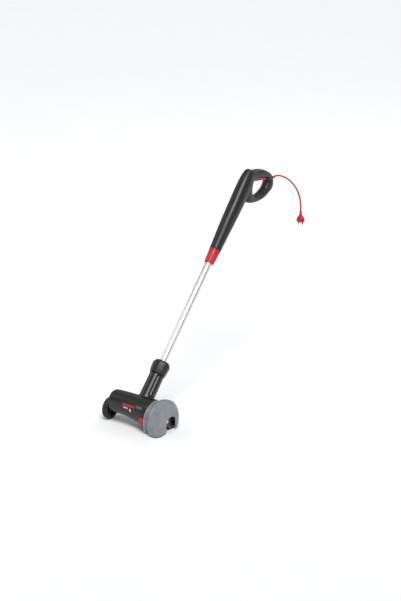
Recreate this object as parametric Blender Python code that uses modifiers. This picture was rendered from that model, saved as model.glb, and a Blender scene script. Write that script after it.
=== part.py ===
"""Corded lawn edger: a telescoping pole with a D-loop handle above, and a motor head with a spinning
blade, a guard and a guide wheel below.

Units are metres. The head is built in the ground frame: Z 0 is the ground, X runs along the motor
towards the blade and Y runs back to the user. The pole and handle are built in the pole frame,
whose Z runs up the pole and whose Y points back and down. Both frames hang on one empty that puts
the origin in the middle of the handle's grip."""

import math

import bmesh
import bpy
from mathutils import Matrix, Vector

# Frames
GRIP = Vector((0.0, 0.845, 0.813))    # middle of the grip bar, in the ground frame
POLE_Z = 0.066                        # height at which the pole's axis crosses above the ground origin
POLE_LEAN = math.radians(45)
GAP = 0.0003                          # clearance between touching pieces

# Gears and spindle
SPINDLE_Z = 0.046
MODULE = 0.0014
PINION_TEETH = 12
GEAR_TEETH = 36
GEAR_DISTANCE = MODULE * (PINION_TEETH + GEAR_TEETH) / 2
MOTOR_Z = SPINDLE_Z + GEAR_DISTANCE   # motor axis above the ground

# Pole: distances up the pole from the motor axis
TUBE_RADIUS = 0.0145
TUBE_BORE = 0.0130
TUBE_BOTTOM = 0.104
TUBE_TOP = 0.790
NECK_TOP = 0.157
NUT_TOP = 0.214
COLLAR_BOTTOM = 0.666
HANDLE_BOTTOM = 0.728

# Handle
SHELL_WALL = 0.0025
LOOP_HALF_WIDTH = 0.0205
LOOP_ROUND = 0.0095
# Sections of the handle's round body: height, middle, half depth and half width
BODY_SECTIONS = (
    (HANDLE_BOTTOM, 0.000, 0.0232, 0.0230),
    (0.780, -0.001, 0.0255, 0.0245),
    (0.827, -0.002, 0.0280, 0.0260),
    (0.883, -0.002, 0.0310, 0.0275),
    (0.939, -0.002, 0.0325, 0.0285),
    (1.000, -0.003, 0.0345, 0.0285),
    (1.045, -0.005, 0.0325, 0.0270),
    (1.078, -0.008, 0.0260, 0.0225),
    (1.097, -0.012, 0.0160, 0.0150),
)
# Side outlines of the loop as (height, depth)
LOOP_OUTLINE = (
    (1.092, -0.030), (1.113, 0.010), (1.138, 0.045), (1.153, 0.080), (1.160, 0.122), (1.146, 0.155),
    (1.122, 0.167), (1.095, 0.158), (1.054, 0.138), (1.006, 0.092), (0.975, 0.052), (0.950, 0.020),
    (0.960, -0.020), (1.010, -0.035), (1.060, -0.037),
)
LOOP_HOLE = (
    (1.085, 0.036), (1.116, 0.076), (1.134, 0.103), (1.130, 0.118), (1.096, 0.124), (1.056, 0.106),
    (1.034, 0.083), (1.030, 0.050), (1.046, 0.035), (1.066, 0.029),
)
# The trigger has its own frame: along the grip's underside from its pivot, and into the grip
TRIGGER_ORIGIN = (1.074, 0.032)
TRIGGER_ALONG = (0.587, 0.810)
TRIGGER_LENGTH = 0.108
TRIGGER_HALF_WIDTH = 0.0085

# Head: places along X
HOUSING_LEFT = -0.128
HOUSING_RIGHT = 0.0600
WALL_LEFT = 0.006
WALL_RIGHT = 0.018
GUARD_RADIUS = 0.0845
GUARD_FACE = 0.1340
GUARD_FOOT_Z = 0.005
FLANGE_RADIUS = 0.0720
BLADE_X = 0.1180
BLADE_RADIUS = 0.0785
BLADE_REST = math.radians(-35)
# Sections of the motor housing: X, middle height and radius
HOUSING_SECTIONS = (
    (HOUSING_LEFT, 0.0815, 0.0375),
    (-0.1260, 0.0815, 0.0412),
    (-0.1210, 0.0815, 0.0435),
    (-0.0600, 0.0790, 0.0455),
    (0.0000, 0.0715, 0.0510),
    (0.0350, 0.0650, 0.0560),
    (HOUSING_RIGHT, 0.0615, 0.0580),
)

# Wheel
WHEEL_X = -0.146
WHEEL_Z = 0.043
WHEEL_RADIUS = 0.0425
WHEEL_WIDTH = 0.023
TREAD_BLOCKS = 28

# Cord: the route of its middle line from the cord guard to the plug, in the ground frame
CORD_RADIUS = 0.0035
CORD_ROUTE = (
    (0.0, 0.9470, 0.7805), (0.0, 0.9740, 0.7770), (0.0, 1.0020, 0.7680), (0.0, 1.0440, 0.7470),
    (0.0, 1.0870, 0.7160), (0.0, 1.1195, 0.6825), (0.0, 1.1420, 0.6465), (0.0, 1.1530, 0.6110),
    (0.0, 1.1545, 0.5780),
)

# Finishes: colour, roughness and metallic value
FINISHES = {
    "black": ((0.030, 0.031, 0.034), 0.42, 0.0),
    "red": ((0.580, 0.022, 0.030), 0.38, 0.0),
    "grey": ((0.300, 0.320, 0.345), 0.30, 0.0),
    "rubber": ((0.020, 0.020, 0.021), 0.75, 0.0),
    "aluminium": ((0.780, 0.790, 0.800), 0.28, 1.0),
    "steel": ((0.480, 0.480, 0.490), 0.32, 1.0),
    "dark_steel": ((0.110, 0.110, 0.115), 0.40, 1.0),
    "brass": ((0.680, 0.520, 0.240), 0.30, 1.0),
    "copper": ((0.720, 0.330, 0.180), 0.35, 1.0),
    "carbon": ((0.040, 0.040, 0.042), 0.60, 0.0),
}

for old in list(bpy.data.objects):
    bpy.data.objects.remove(old, do_unlink=True)

PARTS = bpy.data.collections.new("lawn_edger")
CUTTERS = bpy.data.collections.new("cutters")
bpy.context.scene.collection.children.link(PARTS)
bpy.context.scene.collection.children.link(CUTTERS)


# ---------------------------------------------------------------- frames and helpers

def frame(name, location, rotation=(0, 0, 0), parent=None):
    """An empty that carries pieces."""
    empty = bpy.data.objects.new(name, None)
    empty.location = location
    empty.rotation_euler = rotation
    empty.parent = parent
    PARTS.objects.link(empty)
    return empty


HEAD = frame("ground_frame", -GRIP)
POLE = frame("pole_frame", (0, 0, POLE_Z), (-POLE_LEAN, 0, 0), HEAD)


def pole_to_ground(height, depth):
    """Ground-frame Y and Z of a point in the pole's middle plane."""
    y = height * math.sin(POLE_LEAN) + depth * math.cos(POLE_LEAN)
    z = POLE_Z + height * math.cos(POLE_LEAN) - depth * math.sin(POLE_LEAN)
    return y, z


def trigger_to_pole(along, up):
    """Pole-frame height and depth of a point in the trigger's frame."""
    height = TRIGGER_ORIGIN[0] + along * TRIGGER_ALONG[0] + up * TRIGGER_ALONG[1]
    depth = TRIGGER_ORIGIN[1] + along * TRIGGER_ALONG[1] - up * TRIGGER_ALONG[0]
    return height, depth


def adopt(obj, parent, location=(0, 0, 0), rotation=(0, 0, 0)):
    """Link an object, hang it on a frame and place it there."""
    for collection in list(obj.users_collection):
        collection.objects.unlink(obj)
    PARTS.objects.link(obj)
    obj.parent = parent
    obj.location = location
    obj.rotation_euler = rotation
    return obj


def baked(obj, turn_outward=True):
    """Replace an object's modifiers or curve by the mesh they make.

    A Boolean's result keeps its own face directions, because a hollow inside it faces inward."""
    bpy.context.view_layer.update()
    graph = bpy.context.evaluated_depsgraph_get()
    mesh = bpy.data.meshes.new_from_object(obj.evaluated_get(graph))
    shape = bmesh.new()
    shape.from_mesh(mesh)
    bmesh.ops.remove_doubles(shape, verts=shape.verts, dist=0.000005)
    bmesh.ops.dissolve_degenerate(shape, edges=shape.edges, dist=0.000005)
    if turn_outward:
        bmesh.ops.recalc_face_normals(shape, faces=shape.faces)
    shape.to_mesh(mesh)
    shape.free()
    name = obj.name
    solid = bpy.data.objects.new(name + "_solid", mesh)
    adopt(solid, obj.parent, obj.location, obj.rotation_euler)
    solid.scale = obj.scale
    bpy.data.objects.remove(obj, do_unlink=True)
    solid.name = name
    return solid


def combined(obj, tool, operation="DIFFERENCE"):
    """Cut or join with a tool, which is then kept with the cutters."""
    boolean = obj.modifiers.new(operation.title(), "BOOLEAN")
    boolean.operation = operation
    boolean.solver = "EXACT"
    boolean.object = tool
    result = baked(obj, turn_outward=False)
    PARTS.objects.unlink(tool)
    CUTTERS.objects.link(tool)
    tool.hide_render = True
    tool.display_type = "WIRE"
    return result


def painted(obj, finish, smooth=True):
    """Give a piece its own material and its shading."""
    colour, roughness, metallic = FINISHES[finish]
    material = bpy.data.materials.new(obj.name + "_" + finish)
    material.use_nodes = True
    shader = material.node_tree.nodes["Principled BSDF"]
    shader.inputs["Base Color"].default_value = (*colour, 1)
    shader.inputs["Roughness"].default_value = roughness
    shader.inputs["Metallic"].default_value = metallic
    obj.data.materials.clear()
    obj.data.materials.append(material)
    if smooth:
        for face in obj.data.polygons:
            face.use_smooth = True
    return obj


def box(name, size, parent, location=(0, 0, 0), rotation=(0, 0, 0), round_edges=0.0, segments=2):
    """A block with optional rounded edges."""
    bpy.ops.mesh.primitive_cube_add(size=1)
    obj = bpy.context.object
    obj.name = name
    for vertex in obj.data.vertices:
        vertex.co = [value * length for value, length in zip(vertex.co, size)]
    adopt(obj, parent, location, rotation)
    if round_edges:
        bevel = obj.modifiers.new("Round", "BEVEL")
        bevel.width = round_edges
        bevel.segments = segments
        obj = baked(obj)
    return obj


def turned(name, profile, parent, location=(0, 0, 0), along="Z", steps=24):
    """A turned piece from (axial, radius) points: closed as a ring unless it starts and ends on the axis."""
    solid_core = profile[0][1] == 0 and profile[-1][1] == 0
    edges = [(index, index + 1) for index in range(len(profile) - 1)]
    if not solid_core:
        edges.append((len(profile) - 1, 0))
    mesh = bpy.data.meshes.new(name)
    mesh.from_pydata([(radius, 0, axial) for axial, radius in profile], edges, [])
    obj = bpy.data.objects.new(name, mesh)
    rotations = {"Z": (0, 0, 0), "X": (0, math.pi / 2, 0), "Y": (-math.pi / 2, 0, 0)}
    adopt(obj, parent, location, rotations[along])
    screw = obj.modifiers.new("Turn", "SCREW")
    screw.steps = steps
    screw.render_steps = steps
    screw.use_merge_vertices = True
    screw.merge_threshold = 0.00001
    return baked(obj)


def rod(name, radius, start, end, parent, location=(0, 0, 0), along="Z", steps=24):
    """A plain round bar from start to end on its axis."""
    profile = ((end, 0), (end, radius), (start, radius), (start, 0))
    return turned(name, profile, parent, location, along, steps)


def ring(name, outer, bore, start, end, parent, location=(0, 0, 0), along="Z", steps=24):
    """A plain ring or sleeve."""
    profile = ((end, bore), (end, outer), (start, outer), (start, bore))
    return turned(name, profile, parent, location, along, steps)


def outline_slab(name, outlines, half_width, parent, round_edges=0.0, inset=0.0, smooth_steps=0):
    """A flat outline with its holes, extruded both ways from its plane, with rounded edges.

    The rounded surface moves in by inset on all sides."""
    curve = bpy.data.curves.new(name, "CURVE")
    curve.dimensions = "2D"
    curve.fill_mode = "BOTH"
    curve.extrude = half_width - round_edges
    curve.bevel_depth = round_edges - inset
    curve.bevel_resolution = 1
    curve.offset = -round_edges
    curve.resolution_u = max(1, smooth_steps)
    for outline in outlines:
        if smooth_steps:
            spline = curve.splines.new("BEZIER")
            spline.bezier_points.add(len(outline) - 1)
            for point, (x, y) in zip(spline.bezier_points, outline):
                point.co = (x, y, 0)
                point.handle_left_type = "AUTO"
                point.handle_right_type = "AUTO"
        else:
            spline = curve.splines.new("POLY")
            spline.points.add(len(outline) - 1)
            for point, (x, y) in zip(spline.points, outline):
                point.co = (x, y, 0, 1)
        spline.use_cyclic_u = True
    return adopt(bpy.data.objects.new(name, curve), parent)


def loft(name, rings, parent):
    """A closed skin over rings of equal point counts."""
    count = len(rings[0])
    verts = [point for section in rings for point in section]
    faces = [tuple(reversed(range(count)))]
    for level in range(len(rings) - 1):
        for index in range(count):
            after = (index + 1) % count
            low = level * count
            faces.append((low + index, low + after, low + count + after, low + count + index))
    faces.append(tuple(range((len(rings) - 1) * count, len(rings) * count)))
    mesh = bpy.data.meshes.new(name)
    mesh.from_pydata(verts, [], faces)
    return baked(adopt(bpy.data.objects.new(name, mesh), parent))


def circle_points(count, radius_a, radius_b):
    """Points of an ellipse as (a, b) pairs."""
    turns = [2 * math.pi * index / count for index in range(count)]
    return [(radius_a * math.cos(turn), radius_b * math.sin(turn)) for turn in turns]


# ---------------------------------------------------------------- handle

def body_skin(name, inset, lowest, parent):
    """The handle's round body, moved in by inset on all sides and starting at the lowest height."""
    rings = []
    for height, middle, half_depth, half_width in BODY_SECTIONS:
        level = lowest if height == HANDLE_BOTTOM else height
        if height == BODY_SECTIONS[-1][0]:
            level = height - inset
        section = circle_points(20, half_width - inset, half_depth - inset)
        rings.append([(x, middle + y, level) for x, y in section])
    return loft(name, rings, parent)


def loop_skin(name, inset, parent):
    """The D-loop as a rounded slab, turned so that its outline lies in the pole's middle plane."""
    outlines = [[(depth, height) for height, depth in outline] for outline in (LOOP_OUTLINE, LOOP_HOLE)]
    slab = outline_slab(name, outlines, LOOP_HALF_WIDTH, parent, LOOP_ROUND, inset, 2)
    slab.rotation_euler = Matrix(((0, 0, 1), (1, 0, 0), (0, 1, 0))).to_euler()
    return baked(slab)


def trigger_frame():
    """An empty on the trigger's pivot, with Y along the trigger and Z into the grip."""
    height, depth = trigger_to_pole(0, 0.006)
    turn = math.atan2(TRIGGER_ALONG[0], TRIGGER_ALONG[1])
    return frame("trigger_frame", (0, depth, height), (turn, 0, 0), POLE)


TRIGGER = trigger_frame()


def make_handle_shells():
    """Two half shells with a trigger slot, a tube mouth, a cord exit and screw holes."""
    outer = combined(body_skin("handle_shell", 0, HANDLE_BOTTOM, POLE), loop_skin("loop_outer", 0, POLE), "UNION")
    low = HANDLE_BOTTOM - 0.004
    inner = body_skin("handle_hollow", SHELL_WALL, low, POLE)
    inner = combined(inner, loop_skin("loop_inner", SHELL_WALL, POLE), "UNION")
    shell = combined(outer, inner)
    slot_size = (2 * TRIGGER_HALF_WIDTH + 0.0012, TRIGGER_LENGTH + 0.012, 0.022)
    slot = box("trigger_slot", slot_size, TRIGGER, (0, TRIGGER_LENGTH / 2 - 0.002, 0.001))
    shell = combined(shell, slot)
    y, z = pole_to_ground(*CORD_EXIT)
    exit_hole = rod("cord_exit", 0.0068, -0.02, 0.02, HEAD, (0, y, z), "Y", 16)
    shell = combined(shell, exit_hole)
    pin_hole = rod("pin_hole", 0.0015 + GAP, -0.0150, 0.0150, TRIGGER, along="X", steps=12)
    shell = combined(shell, pin_hole)
    for number, (height, depth, width) in enumerate(HANDLE_SCREWS, 1):
        place = (0, depth, height)
        shell = combined(shell, rod(f"boss_{number}", 0.0052, -width, width, POLE, place, "X", 14), "UNION")
        shell = combined(shell, handle_screw_shape(f"screw_way_{number}", width, place, GAP))
    left = shell.copy()
    left.data = shell.data.copy()
    PARTS.objects.link(left)
    half = (0.08, 0.3, 0.5)
    right_keep = box("keep_right", half, POLE, (half[0] / 2 + GAP / 2, 0.06, 0.95))
    left_keep = box("keep_left", half, POLE, (-half[0] / 2 - GAP / 2, 0.06, 0.95))
    shell.name = "handle_shell_right"
    left.name = "handle_shell_left"
    painted(combined(shell, right_keep, "INTERSECT"), "black")
    painted(combined(left, left_keep, "INTERSECT"), "black")


CORD_EXIT = (1.150, 0.142)
# Height, depth and half length of the boss that each screw runs through
HANDLE_SCREWS = (
    (0.950, 0.0060, 0.0255),
    (1.045, -0.0180, 0.0210),
    (1.115, 0.1500, 0.0190),
)


def handle_screw_shape(name, width, place, spare):
    """A cross screw sunk in its boss. With spare it is the way for it, open to the outside."""
    floor = width - 0.0030
    top = 0.040 if spare else floor + 0.0022
    profile = (
        (top, 0), (top, 0.0034 + spare), (floor, 0.0034 + spare), (floor, 0.0018 + spare),
        (-width + 0.004 - spare, 0.0018 + spare), (-width + 0.004 - spare, 0),
    )
    return turned(name, profile, POLE, place, "X", 12)


def make_handle_screws():
    """Cross screws that hold the half shells together."""
    for number, (height, depth, width) in enumerate(HANDLE_SCREWS, 1):
        place = (GAP, depth, height)
        painted(handle_screw_shape(f"handle_screw_{number}", width, place, 0), "dark_steel")


def make_telescope_parts():
    """The bush that guides the tube in the handle, and the collar that twists to lock it."""
    bush_profile = (
        (HANDLE_BOTTOM + 0.040, TUBE_RADIUS + GAP), (HANDLE_BOTTOM + 0.040, 0.0185),
        (HANDLE_BOTTOM + 0.002, 0.0188), (HANDLE_BOTTOM + 0.002, TUBE_RADIUS + GAP),
    )
    painted(turned("telescope_bush", bush_profile, POLE), "black")
    bore = TUBE_RADIUS + GAP
    top = HANDLE_BOTTOM - GAP
    collar_profile = (
        (top, bore), (top, 0.0225), (top - 0.003, 0.0238), (top - 0.006, 0.0225), (0.695, 0.0212),
        (COLLAR_BOTTOM + 0.004, 0.0198), (COLLAR_BOTTOM, 0.0190), (COLLAR_BOTTOM, bore),
    )
    collar = turned("lock_collar", collar_profile, POLE)
    painted(collar, "red")


def make_trigger():
    """The long trigger, the pin that it turns on, the switch and its plunger."""
    outline = (
        (-0.006, -0.003), (0.010, -0.0085), (0.060, -0.0075), (0.098, -0.0090), (TRIGGER_LENGTH, -0.0065),
        (TRIGGER_LENGTH, -0.002), (0.060, 0.005), (0.012, 0.006), (-0.006, 0.003),
    )
    slab = outline_slab("trigger", [outline], TRIGGER_HALF_WIDTH, TRIGGER, 0.0015)
    slab.rotation_euler = Matrix(((0, 0, 1), (1, 0, 0), (0, 1, 0))).to_euler()
    trigger = baked(slab)
    hole = rod("trigger_pin_hole", 0.0018, -0.02, 0.02, TRIGGER, along="X", steps=12)
    painted(combined(trigger, hole), "red")
    painted(rod("trigger_pin", 0.0015, -0.0145, 0.0145, TRIGGER, along="X", steps=12), "steel")
    body = box("power_switch", (0.016, 0.030, 0.014), TRIGGER, (0, 0.050, 0.0175), round_edges=0.001)
    bore = box("plunger_bore", (0.0056, 0.0066, 0.010), TRIGGER, (0, 0.050, 0.0125))
    painted(combined(body, bore), "black")
    plunger = box("switch_plunger", (0.005, 0.006, 0.0060), TRIGGER, (0, 0.050, 0.0090), round_edges=0.0005)
    painted(plunger, "red")


def make_cord():
    """The cord guard, the clamp inside the handle, the cord and the plug at its end."""
    y, z = pole_to_ground(*CORD_EXIT)
    guard_end = CORD_ROUTE[0][1] - y - 0.0009
    guard_profile = (
        (guard_end, 0.0), (guard_end, 0.0052), (0.018, 0.0060), (0.004, 0.0064), (-0.008, 0.0064), (-0.008, 0.0),
    )
    painted(turned("cord_guard", guard_profile, HEAD, (0, y, z), "Y", 16), "red")
    clamp = box("cord_clamp", (0.020, 0.005, 0.012), HEAD, (0, y - 0.012, z), round_edges=0.001)
    painted(clamp, "black")

    route = bpy.data.curves.new("cord_route", "CURVE")
    route.dimensions = "3D"
    route.resolution_u = 6
    spline = route.splines.new("BEZIER")
    spline.bezier_points.add(len(CORD_ROUTE) - 1)
    for point, place in zip(spline.bezier_points, CORD_ROUTE):
        point.co = place
        point.handle_left_type = "AUTO"
        point.handle_right_type = "AUTO"
    guide = bpy.data.objects.new("cord_route", route)
    CUTTERS.objects.link(guide)
    middle = [vertex.co.copy() for vertex in guide.to_mesh().vertices]
    guide.to_mesh_clear()
    guide.hide_render = True
    guide.parent = HEAD

    curve = bpy.data.curves.new("power_cord", "CURVE")
    curve.dimensions = "3D"
    curve.bevel_depth = CORD_RADIUS
    curve.bevel_resolution = 2
    curve.use_fill_caps = True
    line = curve.splines.new("POLY")
    kept = middle[::2]
    if kept[-1] != middle[-1]:
        kept.append(middle[-1])
    line.points.add(len(kept) - 1)
    for point, place in zip(line.points, kept):
        point.co = (*place, 1)
    painted(baked(adopt(bpy.data.objects.new("power_cord", curve), HEAD)), "red")

    end = Vector(CORD_ROUTE[-1])
    top = end.z - GAP
    plug_rings = []
    for drop, half_width, half_depth in (
        (0.000, 0.0050, 0.0050), (0.012, 0.0062, 0.0062), (0.020, 0.0115, 0.0090), (0.034, 0.0170, 0.0110),
        (0.042, 0.0178, 0.0130), (0.046, 0.0178, 0.0130),
    ):
        section = circle_points(20, half_width, half_depth)
        plug_rings.append([(x, end.y + y, top - drop) for x, y in section])
    plug = loft("plug_body", plug_rings, HEAD)
    for side, x in (("left", -0.0095), ("right", 0.0095)):
        socket = rod(f"pin_socket_{side}", 0.0024 + GAP, -0.010, 0.010, HEAD, (x, end.y, top - 0.046), steps=12)
        plug = combined(plug, socket)
        pin_profile = ((0.0096, 0), (0.0096, 0.0024), (-0.0180, 0.0024), (-0.0190, 0.0015), (-0.0190, 0))
        pin = turned(f"plug_pin_{side}", pin_profile, HEAD, (x, end.y, top - 0.046), steps=12)
        painted(pin, "brass")
    painted(plug, "red")


# ---------------------------------------------------------------- shaft

def make_shaft():
    """The telescopic tube, the collet and nut that hold its foot, and the lead inside it."""
    tube = ring("shaft_tube", TUBE_RADIUS, TUBE_BORE, TUBE_BOTTOM, TUBE_TOP, POLE)
    painted(tube, "aluminium")
    lead = rod("motor_lead", 0.0038, 0.060, TUBE_TOP - 0.005, POLE, steps=10)
    painted(lead, "black")
    collet_profile = (
        (0.196, TUBE_RADIUS + GAP), (0.196, 0.0180), (NECK_TOP + 0.004, 0.0225), (NECK_TOP + GAP, 0.0225),
        (NECK_TOP + GAP, TUBE_RADIUS + GAP),
    )
    collet = turned("tube_collet", collet_profile, POLE)
    painted(collet, "black")
    bottom = NECK_TOP + 2 * GAP
    nut_rings = []
    for height, radius in (
        (bottom, 0.0318), (0.172, 0.0342), (0.194, 0.0362), (0.203, 0.0362), (NUT_TOP, 0.0290),
    ):
        nut_rings.append([(x, y, height) for x, y in circle_points(10, radius, radius)])
    nut = loft("clamp_nut", nut_rings, POLE)
    bore_profile = (
        (NUT_TOP + 0.01, 0), (NUT_TOP + 0.01, TUBE_RADIUS + GAP), (0.1975, TUBE_RADIUS + GAP),
        (0.1965, 0.0186), (NECK_TOP + 0.004, 0.0231), (0.14, 0.0231), (0.14, 0),
    )
    nut = combined(nut, turned("nut_bore", bore_profile, POLE))
    painted(nut, "black", smooth=False)


# ---------------------------------------------------------------- motor head

# Housing screws as X and height up the pole's plane, both crossing the split
HOUSING_SCREWS = ((-0.1215, 0.0440), (-0.1215, -0.0240), (0.0135, 0.0440), (0.0120, -0.0430))
NECK_SCREWS = ((-0.0215, 0.125), (0.0215, 0.125))
MOTOR = (0, 0, MOTOR_Z)
SPINDLE = (0, 0, SPINDLE_Z)


def make_housing():
    """The motor housing and neck, hollowed for the motor, gears and tube, and split along the pole."""
    rings = []
    for x, middle, radius in HOUSING_SECTIONS:
        rings.append([(x, y, middle + z) for y, z in circle_points(32, radius, radius)])
    housing = loft("housing", rings, HEAD)
    neck_profile = (
        (NECK_TOP, 0), (NECK_TOP, 0.0275), (NECK_TOP - 0.002, 0.0293), (0.070, 0.0300), (0.0, 0.0320), (0.0, 0),
    )
    housing = combined(housing, turned("neck_solid", neck_profile, POLE, steps=28), "UNION")
    boss_profile = (
        (-0.060, 0), (-0.060, 0.0110), (-0.128, 0.0125), (-0.1300, 0.0105), (-0.1300, 0),
    )
    axle_boss = turned("axle_boss", boss_profile, HEAD, (0, 0, WHEEL_Z), "X", 20)
    housing = combined(housing, axle_boss, "UNION")

    cuts = [
        rod("motor_chamber", 0.0385, -0.1150, WALL_LEFT, HEAD, MOTOR, "X", 32),
        rod("gear_chamber", 0.0300, WALL_RIGHT, HOUSING_RIGHT + 0.01, HEAD, SPINDLE, "X", 32),
        rod("pinion_chamber", 0.0108, WALL_RIGHT, 0.0440, HEAD, MOTOR, "X", 20),
        rod("motor_bearing_seat", 0.0095 + GAP, WALL_LEFT - 0.001, 0.0133, HEAD, MOTOR, "X", 24),
        rod("shaft_hole", 0.0050, 0.012, WALL_RIGHT + 0.001, HEAD, MOTOR, "X", 16),
        rod("spindle_bearing_seat", 0.0095 + GAP, 0.0107, WALL_RIGHT + 0.001, HEAD, SPINDLE, "X", 24),
        rod("rear_bearing_seat", 0.0080 + GAP, -0.1262, -0.1140, HEAD, MOTOR, "X", 24),
        rod("tube_socket", TUBE_RADIUS + GAP, TUBE_BOTTOM - GAP, NECK_TOP + 0.01, POLE),
        rod("lead_hole", 0.0080, 0.020, TUBE_BOTTOM + 0.001, POLE, steps=16),
        rod("axle_hole", 0.0040 + GAP, -0.14, -0.1200, HEAD, (0, 0, WHEEL_Z), "X", 16),
    ]
    for x, height in HOUSING_SCREWS + NECK_SCREWS:
        cuts.append(screw_shape(f"screw_way_{x}_{height}", x, height, GAP))
    for number in range(5):
        slot = box(f"vent_{number}", (0.040, 0.060, 0.0032), HEAD, (-0.070, 0.040, 0.054 + 0.008 * number))
        cuts.append(slot)
    way = box("lock_button_way", (0.0188, 0.060, 0.0308), HEAD, (LOCK_X, -0.057, LOCK_Z), round_edges=0.006)
    cuts.append(way)
    for cut in cuts:
        housing = combined(housing, cut)
    other = housing.copy()
    other.data = housing.data.copy()
    PARTS.objects.link(other)
    keep = (0.4, 0.2, 0.5)
    front_keep = box("keep_front", keep, POLE, (0, -keep[1] / 2 - GAP / 2, 0))
    rear_keep = box("keep_rear", keep, POLE, (0, keep[1] / 2 + GAP / 2, 0))
    housing.name = "housing_front"
    other.name = "housing_rear"
    painted(combined(housing, front_keep, "INTERSECT"), "black")
    painted(combined(other, rear_keep, "INTERSECT"), "black")


LOCK_X = 0.0465
LOCK_Z = 0.0500
LOCK_PIN = (0.0490, 0, 0.042)


def screw_shape(name, x, height, spare):
    """A screw across the housing's split, with its head sunk in the rear half."""
    reach = 0.0100
    profile = (
        (0.060 if spare else reach + 0.0022, 0), (0.060 if spare else reach + 0.0022, 0.0032 + spare),
        (reach, 0.0036 + spare), (reach, 0.0018 + spare), (-0.0080 - spare, 0.0018 + spare),
        (-0.0080 - spare, 0),
    )
    return turned(name, profile, POLE, (x, 0, height), "Y", 12)


def make_housing_screws():
    """Screws that hold the housing's halves and clamp the neck."""
    for number, (x, height) in enumerate(HOUSING_SCREWS + NECK_SCREWS, 1):
        painted(screw_shape(f"housing_screw_{number}", x, height, 0), "dark_steel")


def make_motor():
    """Stator, field coils, armature, commutator, fan, bearings and brushes, all on the motor axis."""
    core = ring("stator_core", 0.0360, 0.0285, -0.0880, -0.0400, HEAD, MOTOR, "X", 32)
    for side in (1, -1):
        pole_block = box("pole_block", (0.048, 0.038, 0.012), HEAD, (-0.064, 0, MOTOR_Z + side * 0.0245))
        core = combined(core, pole_block, "UNION")
    core = combined(core, rod("armature_room", 0.0204, -0.1, -0.03, HEAD, MOTOR, "X", 32))
    painted(core, "dark_steel", smooth=False)

    for name, side in (("field_coil_upper", 1), ("field_coil_lower", -1)):
        path = []
        for x, turns in ((-0.0930, range(-68, 69, 17)), (-0.0350, range(68, -69, -17))):
            for degrees in turns:
                turn = math.radians(degrees)
                y = 0.0245 * math.sin(turn)
                path.append((x, y, MOTOR_Z + side * 0.0245 * math.cos(turn)))
        curve = bpy.data.curves.new(name, "CURVE")
        curve.dimensions = "3D"
        curve.bevel_depth = 0.0028
        curve.bevel_resolution = 1
        spline = curve.splines.new("POLY")
        spline.points.add(len(path) - 1)
        for point, place in zip(spline.points, path):
            point.co = (*place, 1)
        spline.use_cyclic_u = True
        painted(baked(adopt(bpy.data.objects.new(name, curve), HEAD)), "copper")

    shaft = rod("armature_shaft", 0.0040, -0.1258, 0.0385, HEAD, MOTOR, "X", 16)
    painted(shaft, "steel")
    bore = 0.0040 + GAP
    core_outline = []
    for slot in range(12):
        for offset, radius in ((-9, 0.0190), (9, 0.0190), (11, 0.0130), (19, 0.0130)):
            turn = math.radians(30 * slot + offset)
            core_outline.append((radius * math.cos(turn), radius * math.sin(turn)))
    core_bore = circle_points(16, bore, bore)
    slab = outline_slab("armature_core", [core_outline, core_bore], 0.024, HEAD)
    adopt(slab, HEAD, (-0.064, 0, MOTOR_Z), (0, math.pi / 2, 0))
    painted(baked(slab), "copper", smooth=False)
    painted(ring("commutator", 0.0110, bore, -0.1090, -0.0960, HEAD, MOTOR, "X"), "copper")
    painted(ring("motor_bearing_rear", 0.0080, bore, -0.1258, -0.1212, HEAD, MOTOR, "X"), "steel")
    painted(ring("motor_bearing_front", 0.0095, bore, 0.0062, 0.0130, HEAD, MOTOR, "X"), "steel")

    fan = ring("cooling_fan", 0.0090, bore, -0.0240, -0.0080, HEAD, MOTOR, "X", 16)
    plate = ring("fan_plate", 0.0330, 0.0060, -0.0240, -0.0220, HEAD, MOTOR, "X", 24)
    fan = combined(fan, plate, "UNION")
    for number in range(8):
        turn = 2 * math.pi * number / 8
        blade = box(f"fan_blade_{number}", (0.0130, 0.0250, 0.0018), HEAD)
        middle = 0.0195
        blade.location = (-0.0160, middle * math.cos(turn), MOTOR_Z + middle * math.sin(turn))
        blade.rotation_euler = (turn, 0, 0)
        fan = combined(fan, blade, "UNION")
    painted(fan, "black", smooth=False)

    for name, side in (("front", -1), ("rear", 1)):
        brush = box(f"brush_{name}", (0.0060, 0.0130, 0.0070), HEAD, (-0.1025, side * 0.0180, MOTOR_Z))
        painted(brush, "carbon", smooth=False)
        holder = box(f"brush_holder_{name}", (0.0100, 0.0160, 0.0110), HEAD, (-0.1025, side * 0.0230, MOTOR_Z))
        room = box(f"brush_room_{name}", (0.0066, 0.0200, 0.0076), HEAD, (-0.1025, side * 0.0230, MOTOR_Z))
        painted(combined(holder, room), "brass", smooth=False)


def gear_outline(teeth, thinning):
    """One outline of an involute-like spur gear: root, flank, tip and flank for each tooth."""
    pitch = MODULE * teeth / 2
    root = pitch - 1.25 * MODULE
    tip = pitch + 0.9 * MODULE
    step = 2 * math.pi / teeth
    half = step / 4 - thinning / pitch
    points = []
    for tooth in range(teeth):
        middle = tooth * step
        for radius, spread in (
            (root, -1.45), (pitch, -1.0), (tip, -0.42), (tip, 0.42), (pitch, 1.0), (root, 1.45),
        ):
            turn = middle + spread * half
            points.append((radius * math.cos(turn), radius * math.sin(turn)))
    return points


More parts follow.
